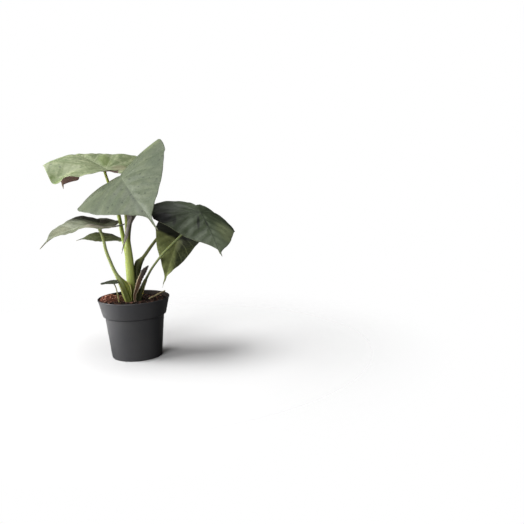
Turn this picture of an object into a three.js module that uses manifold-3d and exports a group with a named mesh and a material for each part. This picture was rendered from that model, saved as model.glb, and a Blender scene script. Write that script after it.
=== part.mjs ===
// A young elephant ear (an aroid) growing in a round nursery pot.
// Millimetres, Z up. The origin is the centre of the pot's underside, and the
// plant shows its best side to someone looking along +Y, with +X to the right.
import * as THREE from 'three';
import { mergeVertices } from 'three/addons/utils/BufferGeometryUtils.js';
import Module from 'manifold-3d';

const wasm = await Module();
wasm.setup();

// Pot: a thin blow-moulded cup with a broad flared collar and a rolled lip.
const POT_HEIGHT = 101;
const POT_WALL = 1.2;
const POT_SIDES = 48;
const BASE_RADIUS = 42;
const NECK_RADIUS = 49.3;
const NECK_HEIGHT = 70;
const COLLAR_FOOT_RADIUS = 53;
const COLLAR_FOOT_HEIGHT = 72.5;
const COLLAR_TOP_RADIUS = 59.2;
const LIP_RADIUS = 60;
const LIP_HEIGHT = 2.6;
const LIP_STEP = 0.4;
const EDGE_ROUND = 0.5;
const BASE_CHAMFER = 1.5;
const DRAIN_HOLES = 8;
const DRAIN_HOLE_RADIUS = 4.5;
const DRAIN_CIRCLE_RADIUS = 31;

// Soil: coir and bark, heaped a little towards the middle.
const SOIL_RIM_LEVEL = 96;
const SOIL_HEAP = 3;
const SOIL_LUMP = 0.9;
const SOIL_SIDES = 48;
const SOIL_RINGS = 7;
const SOIL_CLEARANCE = 0.5;

// Space left between two pieces that touch, and an angle of curl that is never quite nought.
const FIT = 0.3;
const LEAST_CURL = 1e-6;

// Stalks have this many sides, and this many rings between two stations.
const STALK_SIDES = 10;
const RINGS_PER_STATION = 2;

// Half of the flat blade's edge, from the drip tip round one lobe to the notch
// where the lobes part. Lengths are in units of the blade's front length.
const HALF_EDGE = new THREE.SplineCurve([
  new THREE.Vector2(1.1, 0),
  new THREE.Vector2(1.0, 0.016),
  new THREE.Vector2(0.92, 0.05),
  new THREE.Vector2(0.8, 0.14),
  new THREE.Vector2(0.6, 0.3),
  new THREE.Vector2(0.38, 0.45),
  new THREE.Vector2(0.15, 0.56),
  new THREE.Vector2(-0.08, 0.6),
  new THREE.Vector2(-0.28, 0.56),
  new THREE.Vector2(-0.44, 0.44),
  new THREE.Vector2(-0.5, 0.28),
  new THREE.Vector2(-0.44, 0.13),
  new THREE.Vector2(-0.32, 0.045),
  new THREE.Vector2(-0.24, 0),
]);
const HALF_WIDTH = 0.6;
const LOBE_REACH = 0.5;
const EDGE_WAVES = 3;
const EDGE_LENGTH = 1.6;
const EDGE_WAVE_LAG = 1.3;
const MIDRIB_STEPS = 24;

// Each leaf. at is where the stalk meets the blade; heading, rise and roll are
// degrees (heading counts from +X towards +Y, rise lifts the tip, roll lifts
// the left half). length runs from the stalk to the end of the front lobe.
// frontBend and backBend are how far the midrib arches down ahead of the stalk
// and behind it; fold lifts each half into a V and curl turns its edge down.
// full and lobe widen the front and shorten the lobes behind the stalk.
// Stations of the stalk are [x, y, z, half width, half depth], ground upwards.
const LEAVES = {
  front: {
    at: [-3, -18, 302], heading: -69, rise: -17, roll: 34, length: 138, width: 1.08, full: 0, lobe: 0.8,
    frontBend: 30, bendPower: 1.1, backBend: 65, foldLeft: 14, foldRight: 10,
    curlLeft: 17, curlRight: 22, twist: -7, wave: 2, phase: -90, thickness: 1.1, reach: 7,
    stalk: [[-6, 0, 84, 7, 6.5], [-6, 0, 96, 7.4, 7], [-4.5, 0, 118, 7.3, 7], [-4, 0, 137, 7, 6.6],
      [-4, 1, 158, 6.6, 6], [-4, 1, 176, 6.1, 5.2], [-4, 2, 196, 4.4, 4], [-3, 2, 231, 3.3, 3.2],
      [-3, -8, 268, 2.8, 2.8]],
  },
  left: {
    at: [-47, -28, 224], heading: 198, rise: 11, roll: 10, length: 93, width: 0.87, full: -0.25, lobe: 0.9,
    frontBend: 53, bendPower: 1.2, backBend: -25, foldLeft: 6, foldRight: 38,
    curlLeft: 26, curlRight: 24, twist: -15, wave: 2, phase: -150, thickness: 1.1, reach: 4,
    stalk: [[-9, -13, 84, 6.5, 3.6], [-10, -13.5, 97, 8, 3.9], [-14, -14, 110, 8.6, 3.9],
      [-18.5, -14.5, 121, 7.4, 3.8], [-22.5, -15, 136, 4.4, 3.6], [-27, -16, 151, 3.5, 3.2],
      [-32, -18, 167, 2.9, 2.8], [-37, -21, 186, 2.4, 2.4], [-41, -25, 205, 2.1, 2.1]],
  },
  hanging: {
    at: [77, 60, 195], heading: -92, rise: -9, roll: -20, length: 109, width: 0.66, full: 0, lobe: 1,
    frontBend: 77, bendPower: 1.1, backBend: -2, foldLeft: 17, foldRight: 16,
    curlLeft: 6, curlRight: 22, twist: 5, wave: 7, phase: -129, thickness: 1.1, reach: 6,
    stalk: [[4, 6, 84, 4, 4.4], [4, 6, 97, 4.6, 4.8], [5, 6, 120, 4.8, 4.8], [7, 7, 138, 4.8, 4.4],
      [11, 8, 152, 4.2, 3.8], [17, 10, 163, 3.4, 3.4], [24, 16, 172, 2.9, 2.9], [34, 26, 185, 2.6, 2.6],
      [44, 38, 195, 2.3, 2.3], [59, 52, 194, 2.1, 2.1]],
  },
  right: {
    at: [120, 10, 238], heading: -67, rise: -29, roll: 2, length: 100, width: 1.36, full: -0.15, lobe: 1,
    frontBend: 11, bendPower: 1, backBend: 18, foldLeft: -18, foldRight: 2,
    curlLeft: 35, curlRight: 5, twist: 10, wave: 2, phase: -138, thickness: 1.1, reach: 6,
    stalk: [[9, -5, 84, 3, 3], [9, -5, 98, 3.6, 3.4], [14, -7, 114, 3.8, 3.2], [23, -9, 127, 3.4, 3],
      [29, -12, 138, 2.9, 2.8], [37, -14, 150, 2.6, 2.6], [47, -15, 163, 2.4, 2.4],
      [58, -15, 176, 2.3, 2.3], [78, -9, 194, 2.2, 2.2], [102, 0, 217, 2, 2]],
  },
  upper: {
    at: [-45, 78, 314], heading: 145, rise: 24, roll: -8, length: 155, width: 1.12, full: 0.14, lobe: 0.8,
    frontBend: 108, bendPower: 1.9, backBend: -45, foldLeft: 22, foldRight: 0,
    curlLeft: 40, curlRight: 17, twist: -8, wave: 5, phase: -73, thickness: 1.1, reach: 5,
    stalk: [[-10, 13, 84, 4.4, 4], [-10.5, 13, 96, 4.6, 4.2], [-10, 12.5, 118, 4.4, 4.2],
      [-10, 12, 137, 4.2, 4], [-11, 12, 175, 3.9, 3.6], [-14, 15, 200, 3.6, 3.4], [-21, 32, 239, 3.2, 3.1],
      [-32, 50, 270, 2.8, 2.8], [-41, 66, 294, 2.4, 2.4]],
  },
  folded: {
    at: [15, -14, 253], heading: -170, rise: -69, roll: 56, length: 72, width: 0.51, full: -0.7, lobe: 1,
    frontBend: 2, bendPower: 1, backBend: 56, foldLeft: 33, foldRight: 41,
    curlLeft: -14, curlRight: 31, twist: 38, wave: 3, phase: 89, thickness: 0.9, reach: 3,
    stalk: [[-1, 14, 84, 2.6, 2.6], [-1, 14, 98, 2.6, 2.6], [-3, 13.5, 135, 2.3, 2.3],
      [-3, 12, 174, 2, 2], [-1, 10, 205, 1.8, 1.8], [5, 4, 231, 1.6, 1.6], [14, -8, 250, 1.5, 1.5]],
  },
  small: {
    at: [-25, 50, 195], heading: 190, rise: 15, roll: -14, length: 68, width: 0.83, full: -0.29, lobe: 0.5,
    frontBend: 30, bendPower: 1.2, backBend: -11, foldLeft: 7, foldRight: -10,
    curlLeft: -18, curlRight: 24, twist: -48, wave: 1, phase: -37, thickness: 0.9, reach: 4,
    stalk: [[-13, 22, 84, 2.6, 2.6], [-13, 22, 97, 2.6, 2.6], [-11, 26, 133, 2.2, 2.2],
      [-12, 34, 160, 1.9, 1.9], [-18, 42, 179, 1.7, 1.7]],
  },
  low: {
    at: [-28.5, -34, 134.5], heading: 205, rise: 3, roll: 4, length: 20, width: 0.75, full: -0.1, lobe: 1,
    frontBend: 17, bendPower: 1, backBend: 23, foldLeft: 9, foldRight: 4,
    curlLeft: 27, curlRight: 28, twist: -10, wave: 0, phase: 0, thickness: 0.7, reach: 2,
    stalk: [[-20, -21, 84, 1.6, 1.6], [-20, -22, 99, 1.6, 1.6], [-23, -26, 117, 1.3, 1.3]],
  },
};
const LARGE_LEAF = 80;
const LARGE_MESH = { rings: 6, halfEdge: 16 };
const SMALL_MESH = { rings: 4, halfEdge: 12 };

// The dry bract that once wrapped the youngest shoot, as stalk stations.
const BRACT = [[3, -13, 85, 3.4, 0.8], [4, -13.5, 98, 4.6, 0.8], [8, -14, 112, 5.4, 0.8],
  [14, -14.5, 127, 4.8, 0.8], [21, -14.5, 141, 3, 0.7], [29, -15, 154, 0.8, 0.6]];

// A dry stalk lying on the soil.
const DRY_STALK = [[22, 3, 100, 1.1, 1.1], [35, 17, 100.4, 1.2, 1.1], [48.6, 31.6, 102.4, 1, 1]];

const MATERIALS = {
  pot: { color: 0x3a3b3d, roughness: 0.5 },
  soil: { color: 0x4a2a1c, roughness: 1 },
  stalk: { color: 0x96aa5f, roughness: 0.5 },
  blade: { color: 0x5f7350, roughness: 0.45 },
  bract: { color: 0x5b3b2c, roughness: 0.8 },
  straw: { color: 0xb59a6a, roughness: 0.9 },
};

const part = new THREE.Group();

function addMesh(name, geometry, look) {
  const material = new THREE.MeshStandardMaterial({ ...MATERIALS[look], metalness: 0 });
  const mesh = new THREE.Mesh(geometry, material);
  mesh.name = name;
  part.add(mesh);
}

// A closed geometry from points and triangles, turned so that its faces point out.
function closedGeometry(points, triangles) {
  let volume = 0;
  for (const [a, b, c] of triangles) {
    volume += points[a].dot(new THREE.Vector3().crossVectors(points[b], points[c]));
  }
  const order = volume < 0 ? triangles.map(([a, b, c]) => [a, c, b]) : triangles;
  const geometry = new THREE.BufferGeometry().setFromPoints(points);
  geometry.setIndex(order.flat());
  return geometry;
}

function toSolid(geometry) {
  const bare = geometry.clone();
  bare.deleteAttribute('normal');
  bare.deleteAttribute('uv');
  const merged = mergeVertices(bare, 1e-4);
  const vertProperties = new Float32Array(merged.attributes.position.array);
  const triVerts = new Uint32Array(merged.index.array);
  return new wasm.Manifold(new wasm.Mesh({ numProp: 3, vertProperties, triVerts }));
}

function toGeometry(solid) {
  const mesh = solid.getMesh();
  const geometry = new THREE.BufferGeometry();
  geometry.setAttribute('position', new THREE.BufferAttribute(new Float32Array(mesh.vertProperties), 3));
  geometry.setIndex(Array.from(mesh.triVerts));
  return geometry;
}

// The largest of the pieces that a cut leaves.
function largestPiece(solid) {
  const pieces = solid.decompose();
  return pieces.reduce((best, piece) => (piece.volume() > best.volume() ? piece : best));
}

// Rings of equal length joined by a skin, with a fan of triangles on each end.
function loft(rings) {
  const sides = rings[0].length;
  const points = rings.flat();
  const triangles = [];
  for (let i = 0; i + 1 < rings.length; i += 1) {
    for (let j = 0; j < sides; j += 1) {
      const k = (j + 1) % sides;
      const low = i * sides;
      const high = low + sides;
      triangles.push([low + j, low + k, high + k], [low + j, high + k, high + j]);
    }
  }
  const last = (rings.length - 1) * sides;
  for (let j = 1; j + 1 < sides; j += 1) {
    triangles.push([0, j + 1, j], [last, last + j, last + j + 1]);
  }
  return closedGeometry(points, triangles);
}

// A stalk through stations [x, y, z, half width, half depth], grown by extra all round.
function stalkGeometry(stations, extra = 0) {
  const path = new THREE.CatmullRomCurve3(stations.map(([x, y, z]) => new THREE.Vector3(x, y, z)));
  const sizes = new THREE.SplineCurve(stations.map((s) => new THREE.Vector2(s[3], s[4])));
  const depthWays = new THREE.Vector3(0, 1, 0);
  const steps = (stations.length - 1) * RINGS_PER_STATION;
  const rings = [];
  for (let i = 0; i <= steps; i += 1) {
    const t = i / steps;
    const centre = path.getPoint(t);
    const tangent = path.getTangent(t);
    const size = sizes.getPoint(t);
    const across = new THREE.Vector3().crossVectors(depthWays, tangent).normalize();
    const deep = new THREE.Vector3().crossVectors(tangent, across);
    if (i === 0) centre.addScaledVector(tangent, -extra);
    if (i === steps) centre.addScaledVector(tangent, extra);
    const ring = [];
    for (let j = 0; j < STALK_SIDES; j += 1) {
      const angle = (2 * Math.PI * j) / STALK_SIDES;
      ring.push(centre.clone()
        .addScaledVector(across, (size.x + extra) * Math.cos(angle))
        .addScaledVector(deep, (size.y + extra) * Math.sin(angle)));
    }
    rings.push(ring);
  }
  return loft(rings);
}

// Where the midrib is, in the leaf's own upright plane, at flat distance u from the stalk.
function midribAt(leaf, u) {
  const headingAt = (s) => (s >= 0
    ? THREE.MathUtils.degToRad(leaf.frontBend) * (s / leaf.length) ** leaf.bendPower
    : THREE.MathUtils.degToRad(leaf.backBend) * (s / (LOBE_REACH * leaf.length)));
  let x = 0;
  let z = 0;
  for (let i = 0; i < MIDRIB_STEPS; i += 1) {
    const heading = headingAt(((i + 0.5) * u) / MIDRIB_STEPS);
    x += (Math.cos(heading) * u) / MIDRIB_STEPS;
    z -= (Math.sin(heading) * u) / MIDRIB_STEPS;
  }
  return { x, z, heading: headingAt(u) };
}

// The leaf's forward, leftward and upward directions at the stalk.
function leafAxes(leaf) {
  const heading = THREE.MathUtils.degToRad(leaf.heading);
  const rise = THREE.MathUtils.degToRad(leaf.rise);
  const roll = THREE.MathUtils.degToRad(leaf.roll);
  const forward = new THREE.Vector3(
    Math.cos(heading) * Math.cos(rise),
    Math.sin(heading) * Math.cos(rise),
    Math.sin(rise),
  );
  const level = new THREE.Vector3(-Math.sin(heading), Math.cos(heading), 0);
  const left = level.applyAxisAngle(forward, roll);
  const up = new THREE.Vector3().crossVectors(forward, left);
  return { forward, left, up };
}

// A point of the blade's upper face: u along the midrib, v to the left, and r from
// 0 at the stalk to 1 at the edge.
function bladePoint(leaf, axes, u, v, r) {
  const rib = midribAt(leaf, u);
  const isLeft = v >= 0;
  const reach = Math.abs(v);
  const fold = THREE.MathUtils.degToRad(isLeft ? leaf.foldLeft : leaf.foldRight);
  const curl = THREE.MathUtils.degToRad(isLeft ? leaf.curlLeft : leaf.curlRight) + LEAST_CURL;
  const bend = curl / (HALF_WIDTH * leaf.length * leaf.width);
  const out = (Math.sin(fold) - Math.sin(fold - bend * reach)) / bend;
  const sway = Math.sin((2 * Math.PI * EDGE_WAVES * (u / leaf.length + LOBE_REACH)) / EDGE_LENGTH
    + THREE.MathUtils.degToRad(leaf.phase) + (isLeft ? 0 : EDGE_WAVE_LAG));
  const nearEdge = (r ** 3 * reach) / (reach + 0.1 * leaf.length);
  const lift = (Math.cos(fold - bend * reach) - Math.cos(fold)) / bend + leaf.wave * nearEdge * sway;
  const side = isLeft ? out : -out;
  const twist = (THREE.MathUtils.degToRad(leaf.twist) * u) / leaf.length;
  const y = side * Math.cos(twist) - lift * Math.sin(twist);
  const height = side * Math.sin(twist) + lift * Math.cos(twist);
  return new THREE.Vector3(...leaf.at)
    .addScaledVector(axes.forward, rib.x + height * Math.sin(rib.heading))
    .addScaledVector(axes.left, y)
    .addScaledVector(axes.up, rib.z + height * Math.cos(rib.heading));
}

// The upward normal of the blade at a point.
function bladeNormal(leaf, axes, u, v, r) {
  const step = 0.01 * leaf.length;
  const along = bladePoint(leaf, axes, u + step, v, r).sub(bladePoint(leaf, axes, u - step, v, r));
  const across = bladePoint(leaf, axes, u, v + step, r).sub(bladePoint(leaf, axes, u, v - step, r));
  return along.cross(across).normalize();
}

// The flat edge of one leaf, closed, counterclockwise from the drip tip.
function flatEdge(leaf, halfEdge) {
  const half = HALF_EDGE.getSpacedPoints(halfEdge).map((p) => {
    const along = THREE.MathUtils.clamp(p.x, 0, 1);
    const bulge = 1 + leaf.full * 4 * along * (1 - along);
    const u = p.x < 0 ? p.x * leaf.lobe : p.x;
    return new THREE.Vector2(u * leaf.length, p.y * leaf.width * bulge * leaf.length);
  });
  const mirrored = half.slice(1, -1).reverse().map((p) => new THREE.Vector2(p.x, -p.y));
  return [...half, ...mirrored];
}

// The blade as a thin closed sheet, with both faces split into triangles alike.
function bladeGeometry(leaf, extra = 0) {
  const { rings, halfEdge } = leaf.length > LARGE_LEAF ? LARGE_MESH : SMALL_MESH;
  const axes = leafAxes(leaf);
  const edge = flatEdge(leaf, halfEdge);
  const flat = [[0, 0, 0]];
  for (let i = 1; i <= rings; i += 1) {
    const r = i / rings;
    edge.forEach((p) => flat.push([p.x * r, p.y * r, r]));
  }
  const upper = [];
  const lower = [];
  for (const [u, v, r] of flat) {
    const point = bladePoint(leaf, axes, u, v, r);
    const normal = bladeNormal(leaf, axes, u, v, r);
    upper.push(point.clone().addScaledVector(normal, extra));
    lower.push(point.clone().addScaledVector(normal, -leaf.thickness - extra));
  }
  const count = edge.length;
  const face = [];
  for (let j = 0; j < count; j += 1) {
    const k = (j + 1) % count;
    face.push([0, 1 + j, 1 + k]);
    for (let i = 0; i + 1 < rings; i += 1) {
      const inner = 1 + i * count;
      const outer = inner + count;
      face.push([inner + j, outer + j, outer + k], [inner + j, outer + k, inner + k]);
    }
  }
  const below = upper.length;
  const rim = 1 + (rings - 1) * count;
  const triangles = [...face, ...face.map(([a, b, c]) => [a + below, c + below, b + below])];
  for (let j = 0; j < count; j += 1) {
    const a = rim + j;
    const b = rim + ((j + 1) % count);
    triangles.push([a, a + below, b + below], [a, b + below, b]);
  }
  return closedGeometry([...upper, ...lower], triangles);
}

// The stalk's stations with its last stretch turned square to the blade's underside.
function stalkStations(leaf) {
  const axes = leafAxes(leaf);
  const normal = bladeNormal(leaf, axes, 0, 0, 0);
  const top = new THREE.Vector3(...leaf.at);
  const last = leaf.stalk[leaf.stalk.length - 1];
  const approach = top.clone().addScaledVector(normal, -leaf.reach);
  const end = top.clone().addScaledVector(normal, -leaf.thickness / 2);
  const size = [last[3], last[4]];
  return [...leaf.stalk, [...approach.toArray(), ...size], [...end.toArray(), ...size]];
}

// A stalk ends just under its own blade, and gives way to the stalks set before it.
const taken = [];

function carve(geometry, neighbours) {
  const cut = neighbours.reduce((solid, other) => solid.subtract(other), toSolid(geometry));
  return largestPiece(cut);
}

for (const [name, leaf] of Object.entries(LEAVES)) {
  const stations = stalkStations(leaf);
  const bladeRoom = toSolid(bladeGeometry(leaf, FIT));
  addMesh(`blade_${name}`, bladeGeometry(leaf), 'blade');
  const stalk = carve(stalkGeometry(stations), [bladeRoom, ...taken]);
  addMesh(`petiole_${name}`, toGeometry(stalk), 'stalk');
  taken.push(toSolid(stalkGeometry(stations, FIT)));
}
addMesh('bract', toGeometry(carve(stalkGeometry(BRACT), taken)), 'bract');
taken.push(toSolid(stalkGeometry(BRACT, FIT)));

// Soil: a body of revolution with a lumpy top, and a hole for each stalk.
function soilGeometry() {
  const floor = POT_WALL + FIT;
  const inset = POT_WALL + SOIL_CLEARANCE;
  const slope = (NECK_RADIUS - BASE_RADIUS) / NECK_HEIGHT;
  const collarHeight = POT_HEIGHT - LIP_HEIGHT - COLLAR_FOOT_HEIGHT;
  const collarSlope = (COLLAR_TOP_RADIUS - COLLAR_FOOT_RADIUS) / collarHeight;
  const rimRadius = COLLAR_FOOT_RADIUS + collarSlope * (SOIL_RIM_LEVEL - COLLAR_FOOT_HEIGHT) - inset;
  const levels = [
    [BASE_RADIUS + slope * floor - inset, floor],
    [NECK_RADIUS - inset, NECK_HEIGHT + inset - FIT],
    [COLLAR_FOOT_RADIUS - inset, COLLAR_FOOT_HEIGHT + inset],
    [rimRadius, SOIL_RIM_LEVEL],
  ];
  const ringOf = (radius, heightAt) => Array.from({ length: SOIL_SIDES }, (_, j) => {
    const angle = (2 * Math.PI * j) / SOIL_SIDES;
    return new THREE.Vector3(radius * Math.cos(angle), radius * Math.sin(angle), heightAt(angle));
  });
  const rings = levels.map(([radius, level]) => ringOf(radius, () => level));
  for (let i = SOIL_RINGS - 1; i >= 1; i -= 1) {
    const share = i / SOIL_RINGS;
    const heap = SOIL_RIM_LEVEL + SOIL_HEAP * (1 - share * share);
    const lump = (angle) => SOIL_LUMP * Math.sin(5 * angle + 4 * i) * Math.cos(9 * angle - 7 * i);
    rings.push(ringOf(rimRadius * share, (angle) => heap + lump(angle)));
  }
  return loft(rings);
}
addMesh('soil', toGeometry(carve(soilGeometry(), taken)), 'soil');
addMesh('dry_stalk', stalkGeometry(DRY_STALK), 'straw');

// Pot: one thin wall turned round the axis, with drain holes round the flat middle of its base.
function potGeometry() {
  const lipFoot = POT_HEIGHT - LIP_HEIGHT;
  const profile = [
    [0, 0], [BASE_RADIUS - BASE_CHAMFER, 0],
    [BASE_RADIUS, BASE_CHAMFER], [NECK_RADIUS, NECK_HEIGHT],
    [COLLAR_FOOT_RADIUS, COLLAR_FOOT_HEIGHT], [COLLAR_TOP_RADIUS, lipFoot],
    [LIP_RADIUS, lipFoot + LIP_STEP], [LIP_RADIUS, POT_HEIGHT - EDGE_ROUND],
    [LIP_RADIUS - EDGE_ROUND, POT_HEIGHT], [LIP_RADIUS - POT_WALL - LIP_STEP, POT_HEIGHT],
    [COLLAR_TOP_RADIUS - POT_WALL, lipFoot],
    [COLLAR_FOOT_RADIUS - POT_WALL, COLLAR_FOOT_HEIGHT + POT_WALL],
    [NECK_RADIUS - POT_WALL, NECK_HEIGHT + POT_WALL / 2],
    [BASE_RADIUS - POT_WALL, POT_WALL], [0, POT_WALL],
  ];
  const turned = new THREE.LatheGeometry(profile.map(([x, y]) => new THREE.Vector2(x, y)), POT_SIDES);
  return turned.rotateX(Math.PI / 2);
}
let pot = toSolid(potGeometry());
for (let i = 0; i < DRAIN_HOLES; i += 1) {
  const angle = (2 * Math.PI * i) / DRAIN_HOLES;
  const drill = new THREE.CylinderGeometry(DRAIN_HOLE_RADIUS, DRAIN_HOLE_RADIUS, 4 * POT_WALL, 12);
  drill.rotateX(Math.PI / 2);
  drill.translate(DRAIN_CIRCLE_RADIUS * Math.cos(angle), DRAIN_CIRCLE_RADIUS * Math.sin(angle), 0);
  pot = pot.subtract(toSolid(drill));
}
addMesh('pot', toGeometry(pot), 'pot');

export default part;
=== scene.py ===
import math
import random

import bmesh
import bpy
import numpy as np
from mathutils import Matrix, Vector, noise


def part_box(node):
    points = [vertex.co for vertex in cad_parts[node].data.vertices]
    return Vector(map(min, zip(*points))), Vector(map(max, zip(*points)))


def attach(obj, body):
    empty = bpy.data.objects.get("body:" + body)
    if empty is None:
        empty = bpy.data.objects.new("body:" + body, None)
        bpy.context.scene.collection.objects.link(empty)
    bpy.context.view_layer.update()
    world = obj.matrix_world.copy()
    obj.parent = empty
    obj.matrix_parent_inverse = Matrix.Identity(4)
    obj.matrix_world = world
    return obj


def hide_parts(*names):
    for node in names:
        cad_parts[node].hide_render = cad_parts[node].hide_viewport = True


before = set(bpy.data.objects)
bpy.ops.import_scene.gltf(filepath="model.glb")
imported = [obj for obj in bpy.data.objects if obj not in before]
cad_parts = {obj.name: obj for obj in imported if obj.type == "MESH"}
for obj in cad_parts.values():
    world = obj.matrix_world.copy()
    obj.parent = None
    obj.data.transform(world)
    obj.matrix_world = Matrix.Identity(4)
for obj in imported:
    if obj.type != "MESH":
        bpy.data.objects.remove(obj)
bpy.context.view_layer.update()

bl_info = {
    "name": "Potted Elephant Ear",
    "version": (1, 0, 0),
    "blender": (4, 5, 0),
    "location": "3D View > Sidebar > Elephant Ear",
    "description": "Makes a young elephant ear plant in its nursery pot",
    "category": "Add Mesh",
}

MM = 0.001
_, POT_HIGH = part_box("pot")
POT_RADIUS = POT_HIGH.x
POT_HEIGHT = POT_HIGH.z

# Half of the flat blade's edge, from the drip tip round one lobe to the notch where
# the lobes part, in units of the blade's front length.
TIP_EDGE = [(1.1, 0), (1.0, 0.009), (0.93, 0.022), (0.87, 0.06), (0.8, 0.125), (0.7, 0.215), (0.6, 0.3)]
SHORT_TIP_EDGE = [(1.04, 0), (0.99, 0.009), *TIP_EDGE[2:]]
BROAD_TIP_EDGE = [
    (1.0, 0), (0.99, 0.012), (0.98, 0.06), (0.96, 0.14), (0.92, 0.21), (0.82, 0.23), (0.6, 0.3),
]
FULL_TIP_EDGE = [
    (1.1, 0), (1.02, 0.012), (0.95, 0.06), (0.88, 0.13), (0.8, 0.195), (0.7, 0.26), (0.6, 0.32),
]
HOLLOW_TIP_EDGE = [
    (1.1, 0), (1.0, 0.008), (0.9, 0.013), (0.86, 0.03), (0.8, 0.085), (0.7, 0.19), (0.6, 0.29),
]
LOBE_EDGE = [
    (0.38, 0.45), (0.15, 0.56), (-0.08, 0.6), (-0.28, 0.56), (-0.44, 0.44), (-0.5, 0.28),
    (-0.44, 0.13), (-0.32, 0.045), (-0.24, 0),
]
FULL_LOBE_EDGE = [
    *LOBE_EDGE[:3], (-0.28, 0.57), (-0.46, 0.46), (-0.58, 0.3), (-0.5, 0.14), (-0.34, 0.045),
    (-0.24, 0),
]

# Half width of the flat blade, and how far its lobes reach back. The edge waves so many times
# over its length from lobe to tip, and the right half's waves run ahead of the left's by the
# lag, in radians.
HALF_WIDTH = 0.6
LOBE_REACH = 0.5
EDGE_LENGTH = 1.6
EDGE_WAVES = 3
EDGE_WAVE_LAG = 1.3

# The midrib's curve is summed up in so many steps
MIDRIB_STEPS = 24

# Side veins leave the midrib at even steps and lean forward on their way to the edge.
# Behind the stalk they fan out at even angles, and the third is the rib of the back lobe.
VEIN_STEP = 0.2
VEIN_LEAN = 0.72
VEIN_SWEEP = 0.45
VEIN_FAN = 0.5
LAST_FAN_VEIN = -3.4

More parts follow.
